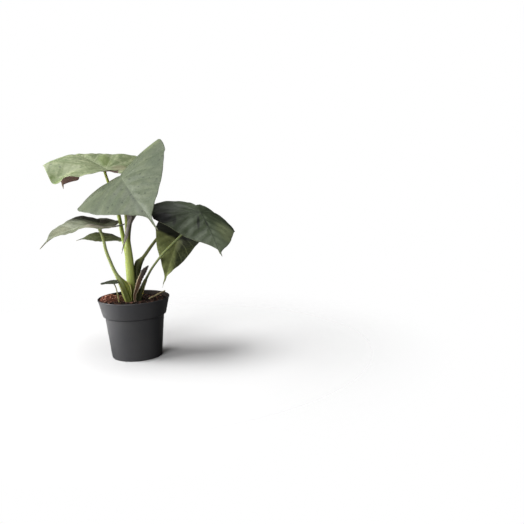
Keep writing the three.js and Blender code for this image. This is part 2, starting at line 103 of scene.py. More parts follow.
# The leaves, in millimetres and degrees. at is where the stalk meets the blade; heading, rise
# and roll turn the blade there. length runs from there to the tip. width, full and lobe scale
# the outline: all of its width, the width between stalk and tip, and the reach of the back
# lobes; tips and lobes are outlines for the left and right half where they aren't the plain
# ones. front_bend and back_bend arch the midrib down ahead of the stalk and behind it, later
# ahead of it for a larger bend_power. fold lifts the left and right halves, curl turns their
# edges down, and twist turns the tip about the midrib. wave is how far the edge waves up and
# down, phase and lag where. thickness is the leaf's, more at its ribs and less between them.
# Humps lift or lower the blade around a flat place: its two coordinates, its half length and
# half width, and the lift.
# Stalk stations are x, y, z, half width and half depth, from the soil upwards. reach is how far
# under the blade the stalk has turned upright to it, and meet is where it joins if not at at.
# Up to sheath_top the stalk is channelled on the side of opening, counted from +X towards +Y.
# A sheath wraps it from low to top: gaps are the degrees that it leaves open to each side of
# opening, and wings how far its two edges stand off where it is widest, a share of the way up
# that begins at start.
LEAVES = {
    "front": dict(
        at=(-3, -18, 302), heading=-69, rise=-17, roll=34, length=138, width=1.08, full=0, lobe=0.8,
        front_bend=30, bend_power=1.1, back_bend=65, fold=(14, 10), curl=(17, 22), twist=-7,
        wave=2, phase=-90, thickness=1.1, reach=7, lobes=FULL_LOBE_EDGE, tips=(TIP_EDGE, HOLLOW_TIP_EDGE),
        stalk=[(-4.5, 0, 84, 7, 6.5), (-4.2, 0, 96, 7.2, 7), (-3, 0, 118, 7, 7), (-2.2, 0, 137, 6.8, 6.6),
               (-2.4, 1, 158, 6.5, 6), (-3.4, 1, 176, 6.3, 5.2), (-3.6, 2, 196, 4.7, 4),
               (-3, 2, 231, 3.3, 3.2), (-3, -8, 268, 2.8, 2.8)],
        sheath_top=196, opening=150,
    ),
    "left": dict(
        at=(-47, -28, 224), heading=198, rise=11, roll=10, length=93, width=0.87, full=-0.25, lobe=0.9,
        front_bend=53, bend_power=1.2, back_bend=-25, fold=(6, 38), curl=(26, 24), twist=-15,
        wave=2, phase=-150, thickness=1.1, reach=4, humps=[(14, 10, 17, 34, 5), (42, 20, 14, 18, -5)],
        stalk=[(-7, -13, 84, 5, 3.6), (-7.6, -13.5, 98, 5, 3.8), (-10.4, -14, 108, 5, 3.9),
               (-13.8, -14.2, 120, 4.8, 3.8), (-17.8, -14.6, 131, 4.2, 3.6), (-22.4, -15.2, 141, 3.5, 3.3),
               (-26.4, -16, 150, 3, 3), (-32, -18, 167, 2.8, 2.8), (-37, -21, 186, 2.7, 2.6),
               (-39, -25, 205, 2.5, 2.4), (-41, -26.2, 214, 2.4, 2.3)],
        sheath_top=134, opening=-70, meet=(-5, 1),
        sheath=dict(low=90, top=140, gaps=(55, 45), wings=(8.4, 0.4), widest=0.6, start=0),
    ),
    "hanging": dict(
        at=(77, 60, 195), heading=-92, rise=-9, roll=-20, length=109, width=0.66, full=0.06, lobe=1,
        front_bend=77, bend_power=1.1, back_bend=-2, fold=(17, 16), curl=(6, 22), twist=5,
        wave=7, phase=-129, thickness=1.1, reach=6,
        stalk=[(4, 6, 84, 4, 4.4), (4, 6, 97, 4.6, 4.8), (5, 6, 120, 4.8, 4.8), (7.4, 7, 138, 4.6, 4.4),
               (11.4, 8, 152, 4.1, 3.8), (17, 10, 163, 3.2, 3.3), (24, 15, 172, 2.9, 2.9),
               (34, 26, 185, 2.7, 2.7), (44, 38, 195, 2.4, 2.4), (59, 52, 194, 2.1, 2.1)],
        sheath_top=158, opening=178,
        sheath=dict(low=90, top=165, gaps=(12, 12), wings=(4.4, 4.4), widest=0.87, start=0.6),
    ),
    "right": dict(
        at=(120, 10, 238), heading=-67, rise=-29, roll=2, length=100, width=1.36, full=-0.12, lobe=1,
        front_bend=11, bend_power=1, back_bend=18, fold=(-18, 2), curl=(35, 5), twist=10,
        wave=2, phase=-138, thickness=1.1, reach=6, tips=(FULL_TIP_EDGE, TIP_EDGE),
        stalk=[(9, -5, 84, 3, 3), (10.4, -5, 98, 3.3, 3.3), (15, -7, 112, 3.2, 3.1),
               (20.4, -8.5, 125, 2.6, 2.7), (27.6, -11.5, 138, 2, 2.3), (35.2, -14, 150, 1.9, 2.2),
               (45.4, -15, 163, 1.9, 2.1), (57, -15, 176, 2, 2.1), (77, -9, 194, 2.1, 2.1),
               (102, 0, 217, 2, 2)],
        sheath_top=128, opening=-95,
        sheath=dict(low=92, top=131, gaps=(46, 46), wings=(1.6, 1.2), widest=0.5, start=0),
    ),
    "upper": dict(
        at=(-45, 78, 314), heading=145, rise=24, roll=-8, length=155, width=1.12, full=0.14, lobe=0.8,
        front_bend=116, bend_power=1.9, back_bend=-45, fold=(22, 0), curl=(40, 17), twist=-8,
        wave=5, phase=-73, thickness=1.1, reach=5, tips=(SHORT_TIP_EDGE, BROAD_TIP_EDGE),
        humps=[(22, 103, 19, 40, -13), (-16, 103, 14, 40, 9), (85, 0, 32, 32, 7), (135, -50, 26, 26, -12)],
        stalk=[(-8.8, 13, 84, 4.2, 4), (-8.4, 13, 96, 4.3, 4.2), (-7.4, 12.5, 118, 4.1, 4.1),
               (-7, 12, 137, 4, 4), (-8.4, 12, 175, 3.8, 3.6), (-12.8, 15, 200, 3.6, 3.4),
               (-21, 32, 239, 3.2, 3.1), (-32, 50, 270, 2.8, 2.8), (-41, 66, 294, 2.4, 2.4)],
        sheath_top=170, opening=80,
        sheath=dict(low=90, top=160, gaps=(34, 34), wings=(2, 2), widest=0.7, start=0),
    ),
    "folded": dict(
        at=(15, -14, 253), heading=-170, rise=-69, roll=-124, length=72, width=0.51, full=-0.7, lobe=1,
        front_bend=-2, bend_power=1, back_bend=-56, fold=(-41, -33), curl=(-31, 14), twist=38,
        wave=-3, phase=163.5, lag=-EDGE_WAVE_LAG, thickness=0.9, reach=3,
        stalk=[(-1, 14, 84, 2.6, 2.6), (-1, 14, 98, 2.6, 2.6), (-3, 13.5, 135, 2.3, 2.3),
               (-3, 12, 174, 2, 2), (-1, 10, 205, 1.8, 1.8), (5, 4, 231, 1.6, 1.6),
               (10.5, -5, 250.5, 1.5, 1.5)],
        sheath_top=110, opening=0,
    ),
    "small": dict(
        at=(-25, 50, 195), heading=190, rise=15, roll=-14, length=68, width=0.83, full=-0.29, lobe=0.5,
        front_bend=30, bend_power=1.2, back_bend=-11, fold=(7, -10), curl=(-18, 24), twist=-48,
        wave=1, phase=-37, thickness=0.9, reach=4,
        stalk=[(-10.5, 23, 84, 2.6, 2.6), (-10, 24, 97, 2.6, 2.6), (-7, 28, 133, 2.2, 2.2),
               (-6, 32, 160, 1.9, 1.9), (-8, 36, 179, 1.7, 1.7), (-13, 41.5, 188.5, 1.6, 1.6),
               (-19, 46.5, 191, 1.6, 1.6)],
        sheath_top=120, opening=180,
    ),
    "low": dict(
        at=(-26, -33, 134.8), heading=205, rise=-1, roll=-14, length=22, width=0.7, full=-0.1, lobe=0.8,
        front_bend=6, bend_power=1, back_bend=4, fold=(4, 0), curl=(10, 12), twist=-6,
        wave=0, phase=0, thickness=0.8, reach=2, tips=(BROAD_TIP_EDGE, BROAD_TIP_EDGE),
        stalk=[(-21.5, -22, 84, 1.2, 1.2), (-21.2, -23, 99, 1.2, 1.2), (-22.4, -25, 113, 1.05, 1.05),
               (-24, -28, 125, 0.95, 0.95)],
        sheath_top=104, opening=-90,
    ),
}

# Leaves longer than this get the finer mesh. A rib is so many times as thick as the leaf.
LARGE_LEAF = 80
LARGE_MESH = dict(rings=56, sides=256)
SMALL_MESH = dict(rings=36, sides=160)
RIB_THICKNESS = 1.3

# Finish of each leaf's upper face. shade mottles the face, vein colours the lines and
# vein_share says how strongly, puff is how far the leaf swells between its veins in
# millimetres, specks, mottle and streaks are the strengths of those patterns, and gloss and
# roughness are the shader's. Each patch is a soft-edged oval in the flat leaf: where it is, its
# half length and half width in millimetres, the degrees it is turned, its share over the
# colour, and the share of its size that it keeps before it fades. Patches lie under the veins
# and specks, and the ovals of the last list lie over them: dark specks on the front leaf, and
# painted shadow, painted shade and a painted highlight on the hanging and right leaves.
LOOKS = {
    "front": dict(
        shade="48533d", vein="8b957a", vein_share=0.2, puff=1.6, roughness=0.5, specks=0.9, mottle=0.6,
        streaks=0.45,
        patches=[dict(at=(32, 66), size=(30, 22), share=0.5, colour="434e3b"),
                 dict(at=(-30, 70), size=(26, 24), share=0.5, colour="7b865e"),
                 dict(at=(-50, 48), size=(20, 30), share=0.5, colour="5d6e3c"),
                 dict(at=(40, 22), size=(34, 9), turn=12, share=0.4, colour="424d3a"),
                 dict(at=(60, -2), size=(34, 5), turn=-4, share=0.5, colour="3c4734"),
                 dict(at=(52, -34), size=(26, 18), share=0.35, colour="4d5943"),
                 dict(at=(-10, -60), size=(30, 30), share=0.35, colour="747e66"),
                 dict(at=(104, -2), size=(26, 14), share=0.4, colour="6c7562")],
        spots_and_painted_light=[dict(at=place, size=(2.6, 2), share=0.75, colour="2f3a28") for place in (
            (38, -24), (67, -21), (59, -44), (-1, -34), (80, 17), (72, -3), (39, 66), (-12, 74),
            (20, -14))],
    ),
    "upper": dict(
        shade="74845a", vein="c0c6a4", vein_share=0.4, puff=1.9, roughness=0.5, specks=0.5, mottle=0.85,
        streaks=0.7,
        patches=[dict(at=(26, -22), size=(34, 15), turn=-40, share=0.55, colour="74883f"),
                 dict(at=(14, 64), size=(30, 18), share=0.35, colour="a6aa8b"),
                 dict(at=(-4, 88), size=(26, 10), share=0.7, colour="5c7034"),
                 dict(at=(22, 99), size=(16, 8), turn=-20, share=0.7, colour="5f7536"),
                 dict(at=(50, 90), size=(9, 14), share=0.5, colour="a9ad93"),
                 dict(at=(28, 82), size=(17, 2.6), turn=123, share=0.6, colour="626f43"),
                 dict(at=(32, 70), size=(21, 2.4), turn=124, share=0.5, colour="6b7849"),
                 dict(at=(43, 90), size=(14, 2.4), turn=130, share=0.55, colour="66734a"),
                 dict(at=(24, 60), size=(22, 2.2), turn=118, share=0.4, colour="737f55"),
                 dict(at=(-8, -26), size=(14, 22), share=0.45, colour="9a8a74")],
    ),
    "left": dict(
        shade="656c56", vein="a6ac94", vein_share=0.5, puff=0.8, roughness=0.45, specks=0.2,
        patches=[dict(at=(2, -27), size=(46, 15), share=0.95, colour="0e130a", core=0.55),
                 dict(at=(-4, 28), size=(34, 17), share=0.85, colour="b5ad9c"),
                 dict(at=(58, -4), size=(20, 10), share=0.45, colour="7f8059")],
    ),
    "hanging": dict(
        shade="687143", vein="949d6c", vein_share=0.55, puff=1.0, roughness=0.55, specks=0.2, gloss=0.15,
        patches=[dict(at=(50, 32), size=(70, 30), share=0.9, colour="1f2518", core=0.75),
                 dict(at=(36, 6), size=(20, 6), share=0.5, colour="8d9570"),
                 dict(at=(-50, 0), size=(36, 150), share=0.65, colour="3d4729")],
        # Painted shadow: the blade's back part near black, where the right leaf shades it
        spots_and_painted_light=[dict(at=(-3.2, 0), size=(30, 150), share=0.97, colour="0a0e07", core=0.67)],
    ),
    "right": dict(
        shade="3b4530", vein="262f22", vein_share=0.6, puff=1.7, roughness=0.5, specks=0.3, gloss=0.3,
        streaks=0.4,
        patches=[dict(at=(28, -27), size=(28, 7), turn=-17, share=0.55, colour="6c7662"),
                 dict(at=(60, 9), size=(28, 8), share=0.55, colour="747e68"),
                 dict(at=(82, 4), size=(30, 26), share=0.5, colour="727c64"),
                 dict(at=(50, 38), size=(40, 30), share=0.85, colour="868f6b")],
        # Painted shade on the curled-under left lobe, a painted highlight on its upturned top, and painted
        # shadows in creases and along the midrib's groove
        spots_and_painted_light=[dict(at=(2, -69), size=(17, 24), share=0.95, colour="080905", core=0.5),
                dict(at=(-22, -46), size=(13, 30), turn=4, share=0.5, colour="7c8178"),
                dict(at=(14, -50), size=(16, 4), turn=-22, share=0.75, colour="12160e"),
                dict(at=(27, -13), size=(21, 3), turn=-17, share=0.85, colour="0f130b"),
                dict(at=(31, 0), size=(10, 2.4), share=0.7, colour="171c12")],
    ),
    "folded": dict(
        shade="c8bebb", vein="a0a07c", vein_share=0.5, puff=0.4, roughness=0.55, specks=0.1, patches=[],
    ),
    "small": dict(
        shade="454f2b", vein="7d8856", vein_share=0.5, puff=0.6, roughness=0.45, specks=0.2,
        patches=[dict(at=(52, 4), size=(20, 12), share=0.5, colour="7b8265")],
    ),
    "low": dict(
        shade="3a3f34", vein="66705a", vein_share=0.4, puff=0.2, roughness=0.6, specks=0.1, gloss=0.15,
        patches=[],
    ),
}

# The dry bract that once wrapped the youngest shoot, and a dry stalk lying on the soil.
BRACT = [(4.5, -13, 85, 1.5, 0.8), (4, -13.5, 98, 1.7, 0.8), (5, -14, 109, 2.4, 0.8),
         (8.6, -14, 117, 3.4, 0.8), (11.4, -14.2, 125, 3.9, 0.8), (14.6, -14.4, 133, 3.8, 0.8),
         (18.4, -14.6, 140, 3.8, 0.8), (22.6, -14.8, 147, 4, 0.8), (27, -15, 152, 2.3, 0.7),
         (30.6, -15, 156, 0.6, 0.6)]
DRY_STALK = [(25.5, 2, 96.6, 1.3, 1.2), (37, 17, 99.6, 1.5, 1.3), (49.6, 32, 103, 1.3, 1.2)]

# The photographer's place, and how far the camera looks down and leans.
CAMERA_PLACE = Vector((218.5, -1402.9, 385.8)) * MM
CAMERA_PITCH = math.radians(9.5)
CAMERA_LEAN = math.radians(2.5)
CAMERA_LENS = 58.4

# Numbers of a colour Mix node's sockets, and settings that many nodes share. A Map Range node's
# sockets 1 to 4 are the range that it reads and the range that it gives.
MIX_FACTOR, MIX_A, MIX_B, MIX_RESULT = 0, 6, 7, 2
RGBA = {"data_type": "RGBA"}
SMOOTH = {"interpolation_type": "SMOOTHSTEP"}
LINEAR = {"interpolation_type": "LINEAR"}


def linear(code):
    """An sRGB hex colour as linear red, green and blue."""
    shares = [int(code[i:i + 2], 16) / 255 for i in (0, 2, 4)]
    return tuple(s / 12.92 if s <= 0.04045 else ((s + 0.055) / 1.055) ** 2.4 for s in shares)


def solid(code):
    """An sRGB hex colour as a node's colour socket takes it."""
    return (*linear(code), 1.0)


def per(size):
    """The texture scale whose pattern repeats about every size millimetres."""
    return 1 / (size * MM)


def colour_property(name, code, description):
    return bpy.props.FloatVectorProperty(
        name=name, description=description, default=linear(code), min=0, max=1, size=3, subtype="COLOR")


def size_property(name, millimetres, description):
    return bpy.props.FloatProperty(
        name=name, description=description, default=millimetres * MM, min=0, subtype="DISTANCE",
        unit="LENGTH")


class ElephantEarSizes(bpy.types.PropertyGroup):
    """Sizes of the finish that the frame doesn't set."""

    margin_ripple: size_property("Margin ripple", 0.8, "How far the leaf's margin ripples up and down")
    main_vein: size_property("Main vein", 1.5, "Half width of the midrib where the stalk joins")
    side_vein: size_property("Side vein", 0.8, "Half width of a side vein near the midrib")
    soil_lump: size_property("Soil lump", 1.3, "Height of the lumps in the soil's surface")
    chip_length: size_property("Chip length", 6, "Length of a middling coir chip")
    chips: bpy.props.IntProperty(
        name="Chips", description="How many coir and bark chips", default=700, min=0)
    fibres: bpy.props.IntProperty(
        name="Fibres", description="How many loose coir fibres", default=90, min=0)


class ElephantEarColours(bpy.types.PropertyGroup):
    """Main colours of the plant and its pot."""

    front: colour_property("Front leaf", "626a51", "Bloomed grey-green face of the front leaf")
    upper: colour_property("Upper leaf", "b0b78f", "Pale yellow-green face of the upper leaf")
    left: colour_property("Left leaf", "898e76", "Grey-green face of the left leaf")
    hanging: colour_property("Hanging leaf", "a8b172", "Olive face of the hanging leaf")
    right: colour_property("Right leaf", "5b664e", "Dark grey-green face of the right leaf")
    folded: colour_property("Folded leaf", "b4aaa6", "Greyed face of the young folded leaf")
    small: colour_property("Small leaf", "626d44", "Dark green face of the small leaf")
    low: colour_property("Low leaf", "4a5044", "Dark face of the low leaf")
    underside: colour_property("Underside", "7d5c54", "Purple-bronze underside of the leaves")
    pot: colour_property("Pot", "48484a", "Charcoal plastic of the pot")
    soil: colour_property("Soil", "21150f", "Damp peat and coir")


# Node and mesh helpers

def add(tree, kind, settings=None, inputs=None):
    """A node with its settings, its inputs given as values or as the sockets that feed them."""
    node = tree.nodes.new(kind)
    for key, value in (settings or {}).items():
        setattr(node, key, value)
    for key, value in (inputs or {}).items():
        if isinstance(value, bpy.types.NodeSocket):
            tree.links.new(value, node.inputs[key])
        else:
            node.inputs[key].default_value = value
    return node


def start_material(name, **sockets):
    """A new material with one Principled shader, whose plain sockets are set here."""
    material = bpy.data.materials.new(name)
    material.use_nodes = True
    tree = material.node_tree
    tree.nodes.clear()
    shader = add(tree, "ShaderNodeBsdfPrincipled",
                 inputs={key.replace("_", " "): value for key, value in sockets.items()})
    add(tree, "ShaderNodeOutputMaterial", inputs={"Surface": shader.outputs["BSDF"]})
    return material, tree, shader


def end_material(tree, shader, colour, height, strength, depth):
    """Gives the shader its colour, and a bump of that strength whose height is depth millimetres."""
    tree.links.new(colour, shader.inputs["Base Color"])
    bump = add(tree, "ShaderNodeBump",
               inputs={"Strength": strength, "Distance": depth * MM, "Height": height})
    tree.links.new(bump.outputs["Normal"], shader.inputs["Normal"])


def lay_over(tree, under, over, pattern, between, shares, rise=SMOOTH):
    """The colour under with the colour over mixed into it, from the first share to the second as
    the pattern goes between its two values."""
    share = add(tree, "ShaderNodeMapRange", rise,
                {"Value": pattern, 1: between[0], 2: between[1], 3: shares[0], 4: shares[1]})
    mixed = add(tree, "ShaderNodeMix", RGBA, {MIX_FACTOR: share.outputs[0], MIX_A: under, MIX_B: over})
    return mixed.outputs[MIX_RESULT]


def streaks_along(tree, width, lengthwise):
    """A piece's grain, and noise in streaks that run along it: so many millimetres wide, with
    their scale cut to the lengthwise share the long way."""
    grain = add(tree, "ShaderNodeAttribute", {"attribute_name": "grain"}).outputs["Vector"]
    stretch = add(tree, "ShaderNodeMapping", inputs={"Vector": grain, "Scale": (1, lengthwise, 0)})
    streak = add(tree, "ShaderNodeTexNoise",
                 inputs={"Vector": stretch.outputs[0], "Scale": per(width), "Detail": 3.0})
    return grain, streak.outputs["Fac"]


def place_vertices(bm, points):
    """Moves the vertices, in their own order, to points given in millimetres."""
    for vertex, point in zip(bm.verts, points):
        vertex.co = Vector(point) * MM


def make_object(name, bm):
    """The finished bmesh as an object of the scene."""
    mesh = bpy.data.meshes.new(name)
    bm.to_mesh(mesh)
    bm.free()
    thing = bpy.data.objects.new(name, mesh)
    bpy.context.scene.collection.objects.link(thing)
    return thing


def make_piece(name, bm, materials, node=None):
    """The finished bmesh as a smooth piece that rides on the plant and stands for its node."""
    piece = make_object(name, bm)
    for material in materials:
        piece.data.materials.append(material)
    piece.data.polygons.foreach_set("use_smooth", [True] * len(piece.data.polygons))
    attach(piece, "root")
    if node:
        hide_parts(node)
    return piece


def give_vectors(piece, name, columns):
    """Stores three columns of numbers as a vector on each vertex."""
    values = np.stack(columns, axis=1).astype(np.float32)
    attribute = piece.data.attributes.new(name, "FLOAT_VECTOR", "POINT")
    attribute.data.foreach_set("vector", values.ravel())


def stretch_between(t, p1, m1, p2, m2):
    """Points on a curve from p1 to p2, as t goes from 0 to 1, that sets off along m1 and arrives
    along m2."""
    return ((2 * t**3 - 3 * t**2 + 1) * p1 + (t**3 - 2 * t**2 + t) * m1
            + (3 * t**2 - 2 * t**3) * p2 + (t**3 - t**2) * m2)


def curve_through(stations, samples):
    """Rows along a smooth curve through the stations, samples to a stretch, and their tangents."""
    stations = np.array(stations, float)
    padded = np.vstack([2 * stations[0] - stations[1], stations, 2 * stations[-1] - stations[-2]])
    knots = np.sqrt(np.linalg.norm(np.diff(padded[:, :3], axis=0), axis=1))
    rows, tangents = [], []
    for i in range(len(stations) - 1):
        p0, p1, p2, p3 = padded[i:i + 4]
        d0, d1, d2 = knots[i:i + 3]
        m1 = ((p1 - p0) / d0 - (p2 - p0) / (d0 + d1) + (p2 - p1) / d1) * d1
        m2 = ((p2 - p1) / d1 - (p3 - p1) / (d1 + d2) + (p3 - p2) / d2) * d1
        last = i == len(stations) - 2
        t = np.linspace(0, 1, samples + last, endpoint=last)[:, None]
        rows.append(stretch_between(t, p1, m1, p2, m2))
        tangents.append((6 * t**2 - 6 * t) * (p1 - p2) + (3 * t**2 - 4 * t + 1) * m1
                        + (3 * t**2 - 2 * t) * m2)
    tangents = np.vstack(tangents)[:, :3]
    return np.vstack(rows), tangents / np.linalg.norm(tangents, axis=1)[:, None]


def section_axes(tangents):
    """Across and deep directions of each section of something that runs along the tangents."""
    across = np.cross((0, 1, 0), tangents)
    across /= np.linalg.norm(across, axis=1)[:, None]
    return across, np.cross(tangents, across)


def beside(rows, across, deep, out, down):
    """Points that stand off their rows, so far out along across and so far down along deep."""
    return rows[:, :3] + across * out[:, None] + deep * down[:, None]


def tube(sides, rings):
    """A capped tube of radius 1, one ring of vertices at each whole height from 0 to rings."""
    bm = bmesh.new()
    bmesh.ops.create_cone(bm, cap_ends=True, segments=sides, radius1=1, radius2=1, depth=rings)
    bmesh.ops.translate(bm, verts=bm.verts, vec=(0, 0, rings / 2))
    upright = [e for e in bm.edges if abs(e.verts[0].co.z - e.verts[1].co.z) > rings / 2]
    bmesh.ops.subdivide_edges(bm, edges=upright, cuts=rings - 1)
    return bm


def smooth_step(low, high, x):
    t = np.clip((x - low) / (high - low), 0, 1)
    return t * t * (3 - 2 * t)


def spun(profile, steps):
    """A profile of radii and heights in millimetres, spun about the upright axis."""
    bm = bmesh.new()
    points = [bm.verts.new((x * MM, 0, z * MM)) for x, z in profile]
    edges = [bm.edges.new(pair) for pair in zip(points, points[1:])]
    bmesh.ops.spin(bm, geom=points + edges, axis=(0, 0, 1), angle=math.tau, steps=steps, use_merge=True)
    bmesh.ops.remove_doubles(bm, verts=bm.verts, dist=0.01 * MM)
    return bm


# The leaf's shape

def half_edge(leaf, outline, sides):
    """One half of the flat leaf's edge, evenly spaced from the drip tip to the notch."""
    points = np.array([outline[0], *outline, outline[-1]], float)
    fine = []
    for p0, p1, p2, p3 in zip(points, points[1:], points[2:], points[3:]):
        t = np.linspace(0, 1, 16, endpoint=False)[:, None]
        m1, m2 = (p2 - p0) / 2, (p3 - p1) / 2
        fine.append(stretch_between(t, p1, m1, p2, m2))
    fine = np.vstack([*fine, points[-1:]])
    run = np.concatenate([[0], np.cumsum(np.linalg.norm(np.diff(fine, axis=0), axis=1))])
    even = np.linspace(0, run[-1], sides // 2 + 1)
    u, v = np.interp(even, run, fine[:, 0]), np.interp(even, run, fine[:, 1])
    along = np.clip(u, 0, 1)
    v = v * leaf["width"] * (1 + leaf["full"] * 4 * along * (1 - along))
    u = np.where(u < 0, u * leaf["lobe"], u)
    return np.stack([u, v], axis=1) * leaf["length"]


def flat_edge(leaf, sides):
    """The flat leaf's edge as evenly spaced points, counterclockwise from the drip tip."""
    lobes = leaf.get("lobes", LOBE_EDGE)
    left_tip, right_tip = leaf.get("tips", (TIP_EDGE, TIP_EDGE))
    left = half_edge(leaf, [*left_tip, *lobes], sides)
    right = half_edge(leaf, [*right_tip, *lobes], sides)
    right[[0, -1]] = left[[0, -1]]
    return np.vstack([left, (right * (1, -1))[-2:0:-1]])


def midrib_at(leaf, u):
    """Where the midrib is in the leaf's upright plane, and how far it has turned down."""
    def turned(s):
        ahead = math.radians(leaf["front_bend"]) * (np.abs(s) / leaf["length"]) ** leaf["bend_power"]
        behind = math.radians(leaf["back_bend"]) * s / (LOBE_REACH * leaf["length"])
        return np.where(s >= 0, ahead, behind)
    steps = turned((np.arange(MIDRIB_STEPS) + 0.5) / MIDRIB_STEPS * u[:, None])
    return np.cos(steps).mean(1) * u, -np.sin(steps).mean(1) * u, turned(u)


def leaf_axes(leaf):
    """The leaf's forward, leftward and upward directions at the stalk."""
    heading, rise, roll = (math.radians(leaf[k]) for k in ("heading", "rise", "roll"))
    level = math.cos(rise)
    forward = Vector((math.cos(heading) * level, math.sin(heading) * level, math.sin(rise)))
    left = Vector((-math.sin(heading), math.cos(heading), 0))
    left.rotate(Matrix.Rotation(roll, 3, forward))
    return np.array(forward), np.array(left), np.array(forward.cross(left))


def blade_points(leaf, u, v, r):
    """Points of the upper face: u along the midrib, v to the left, r from 0 at the stalk to 1 at
    the edge."""
    rib_x, rib_z, turned = midrib_at(leaf, u)
    is_left, reach = v >= 0, np.abs(v)
    fold = np.radians(np.where(is_left, *leaf["fold"]))
    half_width = HALF_WIDTH * leaf["length"] * leaf["width"]
    bend = (np.radians(np.where(is_left, *leaf["curl"])) + 1e-6) / half_width
    out = (np.sin(fold) - np.sin(fold - bend * reach)) / bend
    sway = np.sin(math.tau * EDGE_WAVES * (u / leaf["length"] + LOBE_REACH) / EDGE_LENGTH
                  + math.radians(leaf["phase"]) + np.where(is_left, 0, leaf.get("lag", EDGE_WAVE_LAG)))
    near_edge = r**3 * reach / (reach + 0.1 * leaf["length"])
    lift = (np.cos(fold - bend * reach) - np.cos(fold)) / bend + leaf["wave"] * near_edge * sway
    side = np.where(is_left, out, -out)
    twist = math.radians(leaf["twist"]) * u / leaf["length"]
    y = side * np.cos(twist) - lift * np.sin(twist)
    height = side * np.sin(twist) + lift * np.cos(twist)
    forward, left, up = leaf_axes(leaf)
    points = (np.array(leaf["at"]) + np.outer(rib_x + height * np.sin(turned), forward)
              + np.outer(y, left) + np.outer(rib_z + height * np.cos(turned), up))
    for hump_u, hump_v, long, wide, lift in leaf.get("humps", []):
        points[:, 2] += lift * np.exp(-((u - hump_u) / long) ** 2 - ((v - hump_v) / wide) ** 2)
    return points


def blade_normals(leaf, u, v, r):
    """Upward normals of the upper face."""
    step = 0.01 * leaf["length"]
    along = blade_points(leaf, u + step, v, r) - blade_points(leaf, u - step, v, r)
    across = blade_points(leaf, u, v + step, r) - blade_points(leaf, u, v - step, r)
    normals = np.cross(along, across)
    return normals / np.linalg.norm(normals, axis=1)[:, None]


def vein_field(leaf, u, v):
    """For each flat point: a number that is whole on every side vein, the veins' spacing there,
    and the distance from the midrib."""
    length, width = leaf["length"], leaf["width"]
    ahead, aside = u / length, np.abs(v) / (length * width)
    lean = VEIN_LEAN * aside + VEIN_SWEEP * aside**2
    steepness = np.hypot(1, (VEIN_LEAN + 2 * VEIN_SWEEP * aside) / width)
    first = np.arctan2(np.maximum(aside, 1e-6), lean)
    fan = (np.arctan2(aside, ahead) - first) / VEIN_FAN
    is_ahead = ahead >= lean
    phase = np.where(is_ahead, (ahead - lean) / VEIN_STEP, np.maximum(-fan, LAST_FAN_VEIN))
    spacing = np.where(is_ahead, VEIN_STEP * length / steepness, VEIN_FAN * np.hypot(u, v / width))
    midrib = np.abs(v) + np.maximum(-u, 0) * 3
    return phase, spacing, midrib


def leaf_blade(name, leaf, sizes, face, underside, margin):
    """One blade: a spun disc laid on the leaf's shape, swollen between its veins."""
    mesh = LARGE_MESH if leaf["length"] > LARGE_LEAF else SMALL_MESH
    rings, sides = mesh["rings"], mesh["sides"]
    bm = bmesh.new()
    spoke = [bm.verts.new((i / rings, 0, 0)) for i in range(rings + 1)]
    edges = [bm.edges.new(pair) for pair in zip(spoke, spoke[1:])]
    bmesh.ops.spin(bm, geom=spoke + edges, axis=(0, 0, 1), angle=math.tau, steps=sides, use_merge=True)
    bmesh.ops.remove_doubles(bm, verts=bm.verts, dist=1e-5)
    bm.normal_update()
    if sum(f.normal.z for f in bm.faces) < 0:
        bmesh.ops.reverse_faces(bm, faces=bm.faces)
    disc = np.array([vertex.co for vertex in bm.verts])
    r = np.hypot(disc[:, 0], disc[:, 1])
    spoke_of = np.rint(np.arctan2(disc[:, 1], disc[:, 0]) / math.tau * sides).astype(int) % sides
    u, v = (flat_edge(leaf, sides)[spoke_of] * r[:, None]).T

    phase, spacing, midrib = vein_field(leaf, u, v)
    gap = np.abs(phase - np.rint(phase)) * spacing
    # The leaf swells away from its veins, and less near the margin and the stalk
    swell_reach = 0.05 * leaf["length"]
    swelling = 1 - np.exp(-(np.minimum(gap, midrib) / swell_reach) ** 2)
    from_stalk = np.hypot(u, v)
    calm = (1 - r**8) * (1 - np.exp(-(from_stalk / (0.1 * leaf["length"])) ** 2))
    relief = LOOKS[name]["puff"] * (swelling - 0.3) * calm
    # The margin ripples by waves that don't keep step, in proportion to the largest leaf in front
    run = spoke_of / sides * math.tau
    ripple = np.sin(17 * run + leaf["phase"]) * np.sin(5 * run + 1) + 0.5 * np.sin(29 * run)
    relief += sizes.margin_ripple / MM * leaf["length"] / LEAVES["front"]["length"] * r**6 * ripple
    points = blade_points(leaf, u, v, r) + blade_normals(leaf, u, v, r) * relief[:, None]
    place_vertices(bm, points)

    piece = make_piece(f"{name}_leaf", bm, [face, underside, margin], f"blade_{name}")
    give_vectors(piece, "flat", (u * MM, v * MM, r))
    taper = 0.9 * np.maximum(u, 0) / leaf["length"]
    give_vectors(piece, "veins", (phase, spacing * MM, (midrib + taper) * MM))
    # Full thickness at the ribs and round the stalk, thin tissue between them and at the margin
    ribs = np.exp(-(midrib / 1.8) ** 2) + 0.5 * np.exp(-(gap / 1.3) ** 2) * (1 - r)
    weights = np.clip(0.38 + 0.6 * ribs + np.exp(-(from_stalk / 5) ** 2), 0, 1) * (1 - 0.35 * r**6)
    group = piece.vertex_groups.new(name="thickness")
    for index, weight in enumerate(weights):
        group.add([index], float(weight), "REPLACE")
    shell = piece.modifiers.new("thickness", "SOLIDIFY")
    shell.thickness = RIB_THICKNESS * leaf["thickness"] * MM
    shell.offset = -1
    shell.vertex_group = group.name
    shell.material_offset = 1
    shell.material_offset_rim = 2
    return piece


